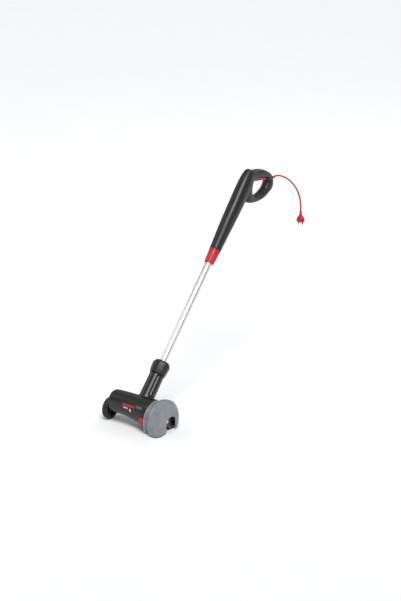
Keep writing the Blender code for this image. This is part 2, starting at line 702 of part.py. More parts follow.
def make_gears():
    """The pinion on the armature shaft and the gear on the spindle, with the spindle's bearings."""
    for name, teeth, bore, x, half_width, place in (
        ("pinion", PINION_TEETH, 0.0040 + GAP, 0.0300, 0.0060, MOTOR),
        ("drive_gear", GEAR_TEETH, 0.0050 + GAP, 0.0300, 0.0050, SPINDLE),
    ):
        outline = gear_outline(teeth, 0.00015)
        slab = outline_slab(name, [outline, circle_points(16, bore, bore)], half_width, HEAD)
        half_tooth = math.pi / teeth if name == "drive_gear" else 0
        adopt(slab, HEAD, (x, 0, place[2]), (0, math.pi / 2, 0))
        slab.rotation_euler = (Matrix.Rotation(half_tooth, 3, "X") @ Matrix.Rotation(math.pi / 2, 3, "Y")).to_euler()
        painted(baked(slab), "steel", smooth=False)
    spindle_profile = (
        (0.1290, 0), (0.1290, 0.0040), (0.1160, 0.0040), (0.1160, 0.0070), (0.1120, 0.0070),
        (0.1120, 0.0050), (0.0525, 0.0050), (0.0525, 0.0120), (0.0455, 0.0120), (0.0455, 0.0050),
        (0.0180, 0.0050), (0.0180, 0.0040), (0.0112, 0.0040), (0.0112, 0),
    )
    spindle = turned("spindle", spindle_profile, HEAD, SPINDLE, "X", 20)
    drop = LOCK_PIN[2] - SPINDLE_Z
    for number in range(4):
        turn = number * math.pi / 2
        y = -0.0125 * math.cos(turn) - drop * math.sin(turn)
        z = SPINDLE_Z - 0.0125 * math.sin(turn) + drop * math.cos(turn)
        notch = box(f"lock_notch_{number}", (0.0120, 0.0100, 0.0058), HEAD, (LOCK_PIN[0], y, z), (turn, 0, 0))
        spindle = combined(spindle, notch)
    painted(spindle, "steel")
    inner = ring("spindle_bearing_inner", 0.0095, 0.0040 + GAP, 0.0112, 0.0176, HEAD, SPINDLE, "X")
    painted(inner, "steel")
    outer = ring("spindle_bearing_outer", 0.0110, 0.0050 + GAP, 0.0685, 0.0755, HEAD, SPINDLE, "X")
    painted(outer, "steel")


# ---------------------------------------------------------------- tool end

def foot_cut(name):
    """The block that trims a tool-end piece level with the guard's foot."""
    return box(name, (0.2, 0.4, 0.2), HEAD, (0.1, 0, GUARD_FOOT_Z - 0.1))


def make_tool_end():
    """Gearbox cover, blade guard and its screws, blade, washer, nut and the spindle lock."""
    face = HOUSING_RIGHT + GAP
    cover_profile = (
        (0.0645, 0.0680), (face, 0.0680), (face, 0.0294), (0.0560, 0.0294), (0.0560, 0.0250),
        (0.0615, 0.0250), (0.0620, 0.0150), (0.0655, 0.0140), (0.0655, 0.0060), (0.0680, 0.0060),
        (0.0680, 0.0110 + GAP), (0.0775, 0.0110 + GAP), (0.0775, 0.0150), (0.0690, 0.0165), (0.0645, 0.0200),
    )
    cover = turned("gearbox_cover", cover_profile, HEAD, SPINDLE, "X", 24)
    cover = combined(cover, foot_cut("cover_foot"))
    flange = 0.0645 + GAP
    guard_profile = (
        (flange, 0.0480), (flange, FLANGE_RADIUS), (0.0710, FLANGE_RADIUS), (0.0740, 0.0670),
        (0.0780, 0.0665), (0.0835, 0.0745), (0.0925, 0.0820), (0.1035, GUARD_RADIUS), (0.1140, GUARD_RADIUS),
        (0.1250, 0.0810), (0.1320, 0.0725), (GUARD_FACE, 0.0640), (GUARD_FACE, 0),
        (0.1315, 0), (0.1315, 0.0635), (0.1297, 0.0712), (0.1235, 0.0788),
        (0.1133, 0.0820), (0.1042, 0.0820), (0.0938, 0.0796), (0.0857, 0.0728),
        (0.0790, 0.0638), (0.0725, 0.0635), (0.0690, 0.0590), (0.0690, 0.0480),
    )
    guard = turned("blade_guard", guard_profile_closed(guard_profile), HEAD, SPINDLE, "X", 36)
    guard = combined(guard, foot_cut("guard_foot"))
    notch_wall = box("notch_legs", (0.012, 2 * NOTCH_HALF_WIDTH, 0.100), HEAD)
    notch_wall.location = (GUARD_FACE - 0.0015, NOTCH_Y, SPINDLE_Z + NOTCH_ARCH - 0.050)
    notch_arch = rod("notch_arch", NOTCH_HALF_WIDTH, GUARD_FACE - 0.0080, GUARD_FACE + 0.0050, HEAD)
    adopt(notch_arch, HEAD, (0, NOTCH_Y, SPINDLE_Z + NOTCH_ARCH), (0, math.pi / 2, 0))
    notch_arch.scale = (0.70, 1, 1)
    guard = combined(guard, combined(notch_wall, notch_arch, "UNION"))
    for number, degrees in enumerate(GUARD_SCREW_ANGLES, 1):
        turn = math.radians(degrees)
        place = (0, 0.0530 * math.sin(turn), SPINDLE_Z + 0.0530 * math.cos(turn))
        hole = rod(f"guard_screw_hole_{number}", 0.0021 + GAP, 0.0600, 0.0740, HEAD, place, "X", 12)
        guard = combined(guard, hole)
        cover_hole = rod(f"cover_screw_hole_{number}", 0.0021 + GAP, 0.0500, 0.0660, HEAD, place, "X", 12)
        cover = combined(cover, cover_hole)
        screw_profile = (
            (0.0715, 0), (0.0715, 0.0032), (0.0690 + GAP, 0.0036), (0.0690 + GAP, 0.0021),
            (0.0607, 0.0021), (0.0607, 0),
        )
        painted(turned(f"guard_screw_{number}", screw_profile, HEAD, place, "X", 12), "steel")
    painted(cover, "dark_steel")
    painted(guard, "grey")


NOTCH_HALF_WIDTH = 0.031
NOTCH_ARCH = -0.006
NOTCH_Y = 0.016
GUARD_SCREW_ANGLES = (0, 75, -75)


def guard_profile_closed(profile):
    """The guard's profile split at the axis, so that both ends lie on it."""
    middle = [index for index, point in enumerate(profile) if point[1] == 0]
    return profile[middle[1]:] + profile[:middle[0] + 1]


def make_blade():
    """The pointed edging blade with its washer and nut, and the spindle lock beside the gears."""
    tip = BLADE_RADIUS
    half = 0.0150
    outline = [
        (tip - 0.020, -half), (tip, -0.003), (tip, 0.003), (tip - 0.020, half),
        (-tip + 0.020, half), (-tip, 0.003), (-tip, -0.003), (-tip + 0.020, -half),
    ]
    bore = circle_points(16, 0.0040 + GAP, 0.0040 + GAP)
    slab = outline_slab("blade", [outline, bore], 0.00125, HEAD)
    adopt(slab, HEAD, (BLADE_X, 0, SPINDLE_Z))
    flat = Matrix(((0, 0, 1), (1, 0, 0), (0, 1, 0)))
    slab.rotation_euler = (Matrix.Rotation(BLADE_REST, 3, "X") @ flat).to_euler()
    painted(baked(slab), "dark_steel", smooth=False)
    washer_start = BLADE_X + 0.00125 + GAP
    washer = ring("blade_washer", 0.0100, 0.0040 + GAP, washer_start, washer_start + 0.0015, HEAD, SPINDLE, "X")
    painted(washer, "steel")
    nut_start = washer_start + 0.0015 + GAP
    hexagon = circle_points(6, 0.0075, 0.0075)
    nut = outline_slab("blade_nut", [hexagon, bore], 0.0030, HEAD)
    adopt(nut, HEAD, (nut_start + 0.0030, 0, SPINDLE_Z), (0, math.pi / 2, 0))
    painted(baked(nut), "steel", smooth=False)


def make_spindle_lock():
    """The red button low on the front, its pin that stops the gear, and the spring behind its head."""
    head = box("lock_button", (0.0180, 0.0120, 0.0300), HEAD, (LOCK_X, -0.0570, LOCK_Z), round_edges=0.0055)
    pin = rod("lock_pin", 0.0022, -0.0530, -0.0150, HEAD, LOCK_PIN, "Y", 12)
    painted(combined(head, pin, "UNION"), "red")
    coil = []
    turns, per_turn = 6, 8
    for step in range(turns * per_turn + 1):
        turn = 2 * math.pi * step / per_turn
        y = -0.0502 + 0.0200 * step / (turns * per_turn)
        coil.append((LOCK_PIN[0] + 0.0035 * math.cos(turn), y, LOCK_PIN[2] + 0.0035 * math.sin(turn)))
    curve = bpy.data.curves.new("lock_button_spring", "CURVE")
    curve.dimensions = "3D"
    curve.bevel_depth = 0.0004
    curve.bevel_resolution = 1
    curve.use_fill_caps = True
    spline = curve.splines.new("POLY")
    spline.points.add(len(coil) - 1)
    for point, place in zip(spline.points, coil):
        point.co = (*place, 1)
    painted(baked(adopt(bpy.data.objects.new("lock_button_spring", curve), HEAD)), "steel")


# ---------------------------------------------------------------- wheel

def make_wheel():
    """The guide wheel: a spoked hub, a treaded tyre and the shouldered axle bolt."""
    place = (WHEEL_X, 0, WHEEL_Z)
    half = WHEEL_WIDTH / 2
    rim = ring("wheel_hub", 0.0330, 0.0300, -half + 0.001, half - 0.001, HEAD, place, "X", 32)
    web = ring("wheel_web", 0.0310, 0.0080, -0.0015, 0.0015, HEAD, place, "X", 32)
    boss = ring("wheel_boss", 0.0100, 0.0040 + GAP, -half + 0.0005, half - 0.0005, HEAD, place, "X", 20)
    hub = combined(combined(rim, web, "UNION"), boss, "UNION")
    for number in range(6):
        turn = 2 * math.pi * number / 6
        spoke = box(f"spoke_{number}", (WHEEL_WIDTH - 0.008, 0.0220, 0.0035), HEAD)
        spoke.location = (WHEEL_X, 0.0200 * math.cos(turn), WHEEL_Z + 0.0200 * math.sin(turn))
        spoke.rotation_euler = (turn, 0, 0)
        hub = combined(hub, spoke, "UNION")
    painted(hub, "black", smooth=False)

    root = WHEEL_RADIUS - 0.0028
    tyre_profile = (
        (half, 0.0330 + GAP), (half, root - 0.001), (half - 0.001, root), (-half + 0.001, root),
        (-half, root - 0.001), (-half, 0.0330 + GAP),
    )
    tyre = turned("wheel_tyre", tyre_profile, HEAD, place, "X", 2 * TREAD_BLOCKS)
    blocks = []
    for number in range(TREAD_BLOCKS):
        for offset, radius in ((-0.27, root - 0.001), (-0.24, WHEEL_RADIUS), (0.24, WHEEL_RADIUS), (0.27, root - 0.001)):
            turn = 2 * math.pi * (number + offset) / TREAD_BLOCKS
            blocks.append((radius * math.cos(turn), radius * math.sin(turn)))
    inner = circle_points(TREAD_BLOCKS, root - 0.002, root - 0.002)
    tread = outline_slab("tread", [blocks, inner], half - 0.0015, HEAD)
    adopt(tread, HEAD, place, (0, math.pi / 2, 0))
    painted(combined(tyre, baked(tread), "UNION"), "rubber", smooth=False)

    axle_profile = (
        (0.0238, 0), (0.0238, 0.0040), (-half - GAP, 0.0040), (-half - GAP, 0.0080),
        (-half - 0.0030, 0.0070), (-half - 0.0040, 0),
    )
    painted(turned("wheel_axle", axle_profile, HEAD, place, "X", 16), "steel")


make_handle_shells()
make_handle_screws()
make_telescope_parts()
make_trigger()
make_cord()
make_shaft()
make_housing()
make_housing_screws()
make_motor()
make_gears()
make_tool_end()
make_blade()
make_spindle_lock()
make_wheel()
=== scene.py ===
"""Corded lawn edger: the looks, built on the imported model."""
import math

import bmesh
import bpy
import numpy as np
from mathutils import Matrix, Vector


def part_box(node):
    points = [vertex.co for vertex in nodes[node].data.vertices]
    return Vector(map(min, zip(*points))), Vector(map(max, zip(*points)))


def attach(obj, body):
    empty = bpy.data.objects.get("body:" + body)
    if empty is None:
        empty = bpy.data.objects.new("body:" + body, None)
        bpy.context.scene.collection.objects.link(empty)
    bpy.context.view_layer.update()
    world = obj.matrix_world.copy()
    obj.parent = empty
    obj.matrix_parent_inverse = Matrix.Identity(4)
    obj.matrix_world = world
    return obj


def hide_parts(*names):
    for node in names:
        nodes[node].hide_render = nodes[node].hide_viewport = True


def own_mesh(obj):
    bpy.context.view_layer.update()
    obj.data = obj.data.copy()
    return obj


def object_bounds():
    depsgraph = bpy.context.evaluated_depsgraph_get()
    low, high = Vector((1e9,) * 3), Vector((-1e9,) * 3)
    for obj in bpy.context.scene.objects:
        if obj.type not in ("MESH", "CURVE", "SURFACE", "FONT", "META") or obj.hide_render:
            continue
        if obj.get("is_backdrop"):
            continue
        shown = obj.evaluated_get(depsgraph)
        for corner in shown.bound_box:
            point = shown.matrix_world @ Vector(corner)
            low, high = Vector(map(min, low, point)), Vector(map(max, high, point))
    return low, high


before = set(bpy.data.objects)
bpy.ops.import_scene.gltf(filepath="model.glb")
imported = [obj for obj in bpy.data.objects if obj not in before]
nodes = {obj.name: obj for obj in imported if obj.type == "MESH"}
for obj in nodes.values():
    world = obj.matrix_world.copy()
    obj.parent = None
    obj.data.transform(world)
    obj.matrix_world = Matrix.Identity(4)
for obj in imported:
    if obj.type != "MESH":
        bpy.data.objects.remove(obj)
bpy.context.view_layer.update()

GROUND = Vector((0.0, -0.845, -0.813))     # the ground frame's origin: under the motor, at ground level

# ---- Camera
# A long lens from the front right, a little above the tool, with the whole pole in an upright frame.
AZIMUTH = math.radians(34.4)
ELEVATION = math.radians(19.5)
DISTANCE = 10.0
LONG_SIDE = 2.387                          # metres that the image's long side spans at the tool
back = Vector((
    math.sin(AZIMUTH) * math.cos(ELEVATION),
    -math.cos(AZIMUTH) * math.cos(ELEVATION),
    math.sin(ELEVATION),
))
camera_data = bpy.data.cameras.new("camera")
camera_data.sensor_width = 36.0
camera_data.lens = 36.0 * DISTANCE / LONG_SIDE
camera_data.clip_end = 100
camera = bpy.data.objects.new("camera", camera_data)
bpy.context.scene.collection.objects.link(camera)
aim = GROUND + Vector((0.0039, 0.4076, 0.4000))
camera.location = aim + back * DISTANCE
camera.rotation_mode = "QUATERNION"
camera.rotation_quaternion = (-back).to_track_quat("-Z", "Y")
bpy.context.scene.camera = camera


# ---- Power cord
# A red two-core mains lead of round section. It leaves the cord guard at the back of the grip and
# hangs down to its plug. The sheath is smooth PVC with a faint waviness.
def plastic(name, colour, roughness, grain, grain_depth, mottle=0.12, soft=0.0, blotch=9.0):
    """Moulded plastic or rubber: a fine surface grain as bump, and slow drifts in shade and gloss.

    colour: the plain shade. roughness: its middle value. grain: marks to the metre. grain_depth: the
    bump's strength. mottle: how far shade and gloss drift. soft: how far light spreads under the skin."""
    material = bpy.data.materials.new(name)
    material.use_nodes = True
    tree = material.node_tree
    shader = tree.nodes["Principled BSDF"]
    place = tree.nodes.new("ShaderNodeTexCoord")
    drift = tree.nodes.new("ShaderNodeTexNoise")
    drift.inputs["Scale"].default_value = blotch
    drift.inputs["Detail"].default_value = 5
    tree.links.new(place.outputs["Object"], drift.inputs["Vector"])
    shade = tree.nodes.new("ShaderNodeValToRGB")
    shade.color_ramp.elements[0].position = 0.3
    shade.color_ramp.elements[1].position = 0.7
    shade.color_ramp.elements[0].color = (*[value * (1 - mottle) for value in colour], 1)
    shade.color_ramp.elements[1].color = (*[min(1, value * (1 + mottle)) for value in colour], 1)
    tree.links.new(drift.outputs["Fac"], shade.inputs["Fac"])
    tree.links.new(shade.outputs["Color"], shader.inputs["Base Color"])
    gloss = tree.nodes.new("ShaderNodeMapRange")
    gloss.inputs["From Min"].default_value = 0.3
    gloss.inputs["From Max"].default_value = 0.7
    gloss.inputs["To Min"].default_value = roughness - 0.35 * mottle
    gloss.inputs["To Max"].default_value = roughness + 0.35 * mottle
    tree.links.new(drift.outputs["Fac"], gloss.inputs["Value"])
    tree.links.new(gloss.outputs["Result"], shader.inputs["Roughness"])
    texture = tree.nodes.new("ShaderNodeTexNoise")
    texture.inputs["Scale"].default_value = grain
    texture.inputs["Detail"].default_value = 2
    tree.links.new(place.outputs["Object"], texture.inputs["Vector"])
    bump = tree.nodes.new("ShaderNodeBump")
    bump.inputs["Strength"].default_value = grain_depth
    bump.inputs["Distance"].default_value = 0.0004
    tree.links.new(texture.outputs["Fac"], bump.inputs["Height"])
    tree.links.new(bump.outputs["Normal"], shader.inputs["Normal"])
    shader.inputs["IOR"].default_value = 1.5
    if soft:
        shader.inputs["Subsurface Weight"].default_value = soft
        shader.inputs["Subsurface Radius"].default_value = (0.004, 0.003, 0.003)
        shader.inputs["Subsurface Scale"].default_value = 1.0
    return material


def finish(piece, material, smooth=True):
    """Give a piece its only material and its shading."""
    piece.data.materials.clear()
    piece.data.materials.append(material)
    if smooth and piece.type == "MESH":
        piece.data.polygons.foreach_set("use_smooth", np.ones(len(piece.data.polygons), dtype=bool))
    return piece


CORD_DIAMETER = 0.007
CORD_ROUTE = np.array((
    (0.0, 0.9470, 0.7805), (0.0, 0.9740, 0.7770), (0.0, 1.0020, 0.7680), (0.0, 1.0440, 0.7470),
    (0.0, 1.0870, 0.7160), (0.0, 1.1195, 0.6825), (0.0, 1.1420, 0.6465), (0.0, 1.1530, 0.6110),
    (0.0, 1.1545, 0.5780),
)) + np.array(GROUND)
cord_curve = bpy.data.curves.new("power_cord_sheath", "CURVE")
cord_curve.dimensions = "3D"
cord_curve.resolution_u = 12
cord_curve.bevel_depth = CORD_DIAMETER / 2
cord_curve.bevel_resolution = 6
cord_curve.use_fill_caps = True
cord_line = cord_curve.splines.new("BEZIER")
cord_line.bezier_points.add(len(CORD_ROUTE) - 1)
for point, spot in zip(cord_line.bezier_points, CORD_ROUTE):
    point.co = spot
    point.handle_left_type = "AUTO"
    point.handle_right_type = "AUTO"
power_cord = bpy.data.objects.new("power_cord_sheath", cord_curve)
bpy.context.scene.collection.objects.link(power_cord)
RED = (0.430, 0.0065, 0.0120)
cord_red = plastic("red_cord_sheath", RED, 0.42, 900, 0.15, 0.10)
finish(power_cord, cord_red)
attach(power_cord, "handle")
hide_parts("power_cord")


# ---- Cord guard
# A tapered flexible boot moulded on the cord, with grooves that let it bend. It stays with the grip.
def turned(name, axial, radius, origin, axis, steps=96):
    """A surface of revolution: point = origin + axial * axis + radius * (cos turn * side + sin turn * up).

    axial and radius are arrays along the profile. A radius of zero closes an end."""
    axis = Vector(axis).normalized()
    side = axis.orthogonal().normalized()
    up = axis.cross(side)
    turn = np.linspace(0, 2 * np.pi, steps, endpoint=False)
    axial, radius = np.asarray(axial, float), np.asarray(radius, float)
    spokes = np.cos(turn)[:, None] * np.array(side) + np.sin(turn)[:, None] * np.array(up)
    points = (np.array(origin) + axial[:, None, None] * np.array(axis) + radius[:, None, None] * spokes[None])
    return skin(name, points, wrap=True)


def skin(name, points, wrap=False, loop=False):
    """A mesh over a grid of points: rows along the first index, columns along the second.

    wrap joins the last column to the first, and loop joins the last row to the first."""
    rows, columns = points.shape[:2]
    row_starts = np.arange(rows if loop else rows - 1)
    column_starts = np.arange(columns if wrap else columns - 1)
    row, column = np.meshgrid(row_starts, column_starts, indexing="ij")
    row, column = row.ravel(), column.ravel()
    next_row, next_column = (row + 1) % rows, (column + 1) % columns
    faces = np.stack((row * columns + column, row * columns + next_column,
                      next_row * columns + next_column, next_row * columns + column), axis=1)
    mesh = bpy.data.meshes.new(name)
    mesh.from_pydata(points.reshape(-1, 3).tolist(), [], faces.tolist())
    shape = bmesh.new()
    shape.from_mesh(mesh)
    bmesh.ops.remove_doubles(shape, verts=shape.verts, dist=0.00001)
    bmesh.ops.dissolve_degenerate(shape, edges=shape.edges, dist=0.00001)
    bmesh.ops.recalc_face_normals(shape, faces=shape.faces)
    shape.to_mesh(mesh)
    shape.free()
    piece = bpy.data.objects.new(name, mesh)
    bpy.context.scene.collection.objects.link(piece)
    return piece


def rounded(profile, radius=0.0005, steps=4):
    """A profile of (axial, radius) corners, with each inner corner turned into a small arc.

    Each corner is cut back by radius along both of its edges and joined by a quadratic curve."""
    corners = np.array(profile, float)
    smooth = [corners[0]]
    for before, corner, after in zip(corners[:-2], corners[1:-1], corners[2:]):
        cut_in = min(radius, 0.45 * np.linalg.norm(before - corner))
        cut_out = min(radius, 0.45 * np.linalg.norm(after - corner))
        start = corner + (before - corner) / max(np.linalg.norm(before - corner), 1e-9) * cut_in
        end = corner + (after - corner) / max(np.linalg.norm(after - corner), 1e-9) * cut_out
        for t in np.linspace(0, 1, steps):
            smooth.append((1 - t) ** 2 * start + 2 * t * (1 - t) * corner + t ** 2 * end)
    smooth.append(corners[-1])
    return np.array(smooth).T


guard_low, guard_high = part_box("cord_guard")
boot_start, boot_end = guard_low[1], guard_high[1]
boot_middle = (guard_low[2] + guard_high[2]) / 2
boot = [(boot_start, 0), (boot_start, 0.0063), (boot_start + 0.0130, 0.0063)]
for groove in range(5):
    place = boot_start + 0.0150 + groove * 0.0044
    wide = 0.0063 - groove * 0.00022
    boot += [(place, wide), (place + 0.0006, wide - 0.0011)]
    boot += [(place + 0.0018, wide - 0.0011), (place + 0.0024, wide)]
boot += [(boot_end, 0.0050), (boot_end, 0.0)]
cord_boot = turned("cord_boot", *rounded(boot, 0.0004), (0, 0, boot_middle), (0, 1, 0), 64)
red_rubber = plastic("red_boot_rubber", RED, 0.50, 700, 0.25, 0.12)
finish(cord_boot, red_rubber)
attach(cord_boot, "handle")
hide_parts("cord_guard")

# ---- Plug
# A flat two-pin mains plug moulded in red PVC: a narrow grip that spreads to a lozenge-shaped face,
# with two round brass pins, each with its black insulating sleeve.
plug_low, plug_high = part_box("plug_body")
plug_x, plug_y = 0.0, (plug_low[1] + plug_high[1]) / 2
drops = np.linspace(0, plug_high[2] - plug_low[2], 40)
length = plug_high[2] - plug_low[2]
part_way = drops / length
flare = 1 / (1 + np.exp(-(part_way - 0.52) * 13))
half_width = 0.0050 + 0.0012 * part_way + 0.0115 * flare
half_depth = 0.0050 + 0.0010 * part_way + 0.0062 * flare
closing = np.sqrt(np.clip(1 - ((part_way - 0.94) / 0.06).clip(0) ** 2 * 0.12, 0, 1))
ribs = 0.0004 * np.cos(part_way * 60) * np.exp(-((part_way - 0.30) / 0.14) ** 2)
turn = np.linspace(0, 2 * np.pi, 96, endpoint=False)
squareness = 2.0 + 0.8 * flare
cos_part = np.sign(np.cos(turn))[None] * np.abs(np.cos(turn))[None] ** (2 / squareness[:, None])
sin_part = np.sign(np.sin(turn))[None] * np.abs(np.sin(turn))[None] ** (2 / squareness[:, None])
plug_points = np.stack((
    plug_x + (half_width * closing + ribs)[:, None] * cos_part,
    plug_y + (half_depth * closing + ribs)[:, None] * sin_part,
    (plug_high[2] - drops)[:, None] + np.zeros_like(cos_part),
), axis=2)
top_cap = np.broadcast_to(plug_points[0].mean(0), plug_points[0].shape)
face_cap = np.broadcast_to(plug_points[-1].mean(0), plug_points[-1].shape)
plug = skin("plug_moulding", np.concatenate((top_cap[None], plug_points, face_cap[None])), wrap=True)
finish(plug, plastic("red_plug_plastic", RED, 0.40, 500, 0.18, 0.10))
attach(plug, "handle")
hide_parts("plug_body")

# ---- Handle
# A black handle moulded in two halves: a round body that swells up the pole and a D-loop grip behind
# its top. The real one is hollow. Here both halves are one solid skin with a groove at the parting
# line, and only the trigger's slot and the plunger's way are cut into it.
LEAN = math.radians(45)                    # the pole's lean from upright
POLE_Z = 0.066                             # height at which the pole's axis meets the ground frame's origin
pole_axis = np.array((0, math.sin(LEAN), math.cos(LEAN)))
pole_back = np.array((0, math.cos(LEAN), -math.sin(LEAN)))
pole_foot = np.array(GROUND) + (0, 0, POLE_Z)


def on_pole(across, depth, height):
    """Points of the pole frame: foot + across * X + depth * backward + height * up the pole."""
    return (pole_foot + across[..., None] * np.array((1.0, 0, 0)) + depth[..., None] * pole_back
            + height[..., None] * pole_axis)


def through(knots, count, closed=False):
    """A smooth line through the rows of knots: a Catmull-Rom cubic between each pair of neighbours."""
    knots = np.asarray(knots, float)
    spans = len(knots) if closed else len(knots) - 1
    where = np.linspace(0, spans, count, endpoint=not closed)
    span = np.minimum(where.astype(int), spans - 1)
    t = (where - span)[:, None]
    index = span[:, None] + np.arange(-1, 3)[None]
    index = index % len(knots) if closed else index.clip(0, len(knots) - 1)
    a, b, c, d = (knots[index[:, k]] for k in range(4))
    return b + 0.5 * t * (c - a + t * (2 * a - 5 * b + 4 * c - d + t * (3 * (b - c) + d - a)))


def superellipse(count, power):
    """Points of a unit superellipse: |cos|^(2/power) and |sin|^(2/power) with their signs."""
    turn = np.linspace(0, 2 * np.pi, count, endpoint=False)
    return (np.sign(np.cos(turn)) * np.abs(np.cos(turn)) ** (2 / power),
            np.sign(np.sin(turn)) * np.abs(np.sin(turn)) ** (2 / power))


def capped(points):
    """A grid of sections with its first and last row drawn in to their middles, which closes the ends."""
    first = np.broadcast_to(points[0].mean(0), points[0].shape)
    last = np.broadcast_to(points[-1].mean(0), points[-1].shape)
    return np.concatenate((first[None], points, last[None]))


def fused(name, parts, voxel, passes):
    """One skin from overlapping closed parts: a voxel union, whose creases are then relaxed."""
    shape = bmesh.new()
    for part in parts:
        part.data.transform(part.matrix_basis)
        shape.from_mesh(part.data)
        bpy.data.objects.remove(part, do_unlink=True)
    mesh = bpy.data.meshes.new(name)
    shape.to_mesh(mesh)
    shape.free()
    piece = bpy.data.objects.new(name, mesh)
    bpy.context.scene.collection.objects.link(piece)
    union = piece.modifiers.new("union", "REMESH")
    union.mode = "VOXEL"
    union.voxel_size = voxel
    relax = piece.modifiers.new("relax", "SMOOTH")
    relax.iterations = passes
    relax.factor = 0.5
    return settled(piece)


def settled(piece):
    """The piece with its modifiers applied."""
    graph = bpy.context.evaluated_depsgraph_get()
    graph.update()
    mesh = bpy.data.meshes.new_from_object(piece.evaluated_get(graph))
    piece.modifiers.clear()
    piece.data = mesh
    return piece


def cut_away(piece, *tools):
    """The piece with each tool's volume taken out."""
    for tool in tools:
        cut = piece.modifiers.new("cut", "BOOLEAN")
        cut.operation = "DIFFERENCE"
        cut.solver = "EXACT"
        cut.object = tool
        settled(piece)
        bpy.data.objects.remove(tool, do_unlink=True)
    return piece


BODY = through((
    (0.728, 0.000, 0.0232, 0.0230), (0.780, -0.001, 0.0255, 0.0245), (0.827, -0.002, 0.0280, 0.0260),
    (0.883, -0.002, 0.0310, 0.0275), (0.939, -0.002, 0.0325, 0.0285), (1.000, -0.003, 0.0345, 0.0285),
    (1.045, -0.005, 0.0325, 0.0270), (1.078, -0.008, 0.0260, 0.0225), (1.091, -0.011, 0.0190, 0.0175),
    (1.097, -0.013, 0.0110, 0.0100),
), 150)
across, along = superellipse(72, 2.15)
body_skin = skin("handle_body", capped(on_pole(
    BODY[:, 3:] * across, BODY[:, 1:2] + BODY[:, 2:3] * along, np.repeat(BODY[:, :1], 72, 1))), wrap=True)
# Outer and inner edge of the loop as (height, depth), and its half width, station by station
LOOP = through((
    (1.113, 0.010, 1.085, 0.036, 0.0205), (1.138, 0.045, 1.106, 0.062, 0.0205),
    (1.154, 0.082, 1.123, 0.086, 0.0205), (1.161, 0.122, 1.134, 0.103, 0.0205),
    (1.147, 0.154, 1.131, 0.116, 0.0205), (1.122, 0.167, 1.114, 0.123, 0.0205),
    (1.095, 0.158, 1.092, 0.123, 0.0205), (1.054, 0.138, 1.056, 0.106, 0.0205),
    (1.006, 0.092, 1.034, 0.083, 0.0205), (0.985, 0.045, 1.030, 0.052, 0.0220),
    (1.020, -0.010, 1.046, 0.036, 0.0230), (1.080, -0.030, 1.066, 0.029, 0.0225),
), 180, closed=True)
middle, reach = (LOOP[:, :2] + LOOP[:, 2:4]) / 2, (LOOP[:, :2] - LOOP[:, 2:4]) / 2
across, along = superellipse(48, 2.7)
loop_points = on_pole(
    LOOP[:, 4:] * across, middle[:, 1:] + reach[:, 1:] * along, middle[:, :1] + reach[:, :1] * along)
loop_skin = skin("handle_loop", loop_points, wrap=True, loop=True)
handle = fused("handle_skin", [body_skin, loop_skin], voxel=0.0014, passes=14)


def bar(name, low, high):
    """A plain box between two corners."""
    shape = bmesh.new()
    bmesh.ops.create_cube(shape, size=1)
    low, high = Vector(low), Vector(high)
    for vertex in shape.verts:
        vertex.co = (low + high) / 2 + Vector(a * b for a, b in zip(vertex.co, high - low))
    mesh = bpy.data.meshes.new(name)
    shape.to_mesh(mesh)
    shape.free()
    piece = bpy.data.objects.new(name, mesh)
    bpy.context.scene.collection.objects.link(piece)
    return piece


trigger_pivot = GROUND + Vector((0, 0.78301, 0.80873))
trigger_slope = Matrix.Rotation(-math.atan2(0.1577, 0.988), 4, "X")
trigger_turn = Matrix.Translation(trigger_pivot) @ trigger_slope
slot = bar("trigger_slot", (-0.0091, -0.0065, -0.010), (0.0091, 0.1135, 0.0135))
slot.data.transform(trigger_turn)
plunger_way = bar(
    "plunger_way", (-0.0036, 0.8285 - 0.845, 0.8000 - 0.813), (0.0036, 0.8395 - 0.845, 0.8190 - 0.813))
cut_away(handle, slot, plunger_way)


def parting_groove(piece, normal, point, half_width=0.0006, depth=0.0007):
    """A fine V groove all round a skin, where a plane cuts it: its middle ring sinks along its normals."""
    shape = bmesh.new()
    shape.from_mesh(piece.data)
    normal = Vector(normal)
    for offset in (-half_width, 0.0, half_width):
        bmesh.ops.bisect_plane(shape, geom=shape.verts[:] + shape.edges[:] + shape.faces[:], dist=0.00002,
                               plane_co=Vector(point) + normal * offset, plane_no=normal)
    shape.normal_update()
    ring = [vertex for vertex in shape.verts if abs((vertex.co - Vector(point)).dot(normal)) < 0.00003]
    sunk = [(vertex, vertex.co - vertex.normal * depth) for vertex in ring]
    for vertex, place in sunk:
        vertex.co = place
    shape.to_mesh(piece.data)
    shape.free()


BLACK = (0.0065, 0.0067, 0.0072)


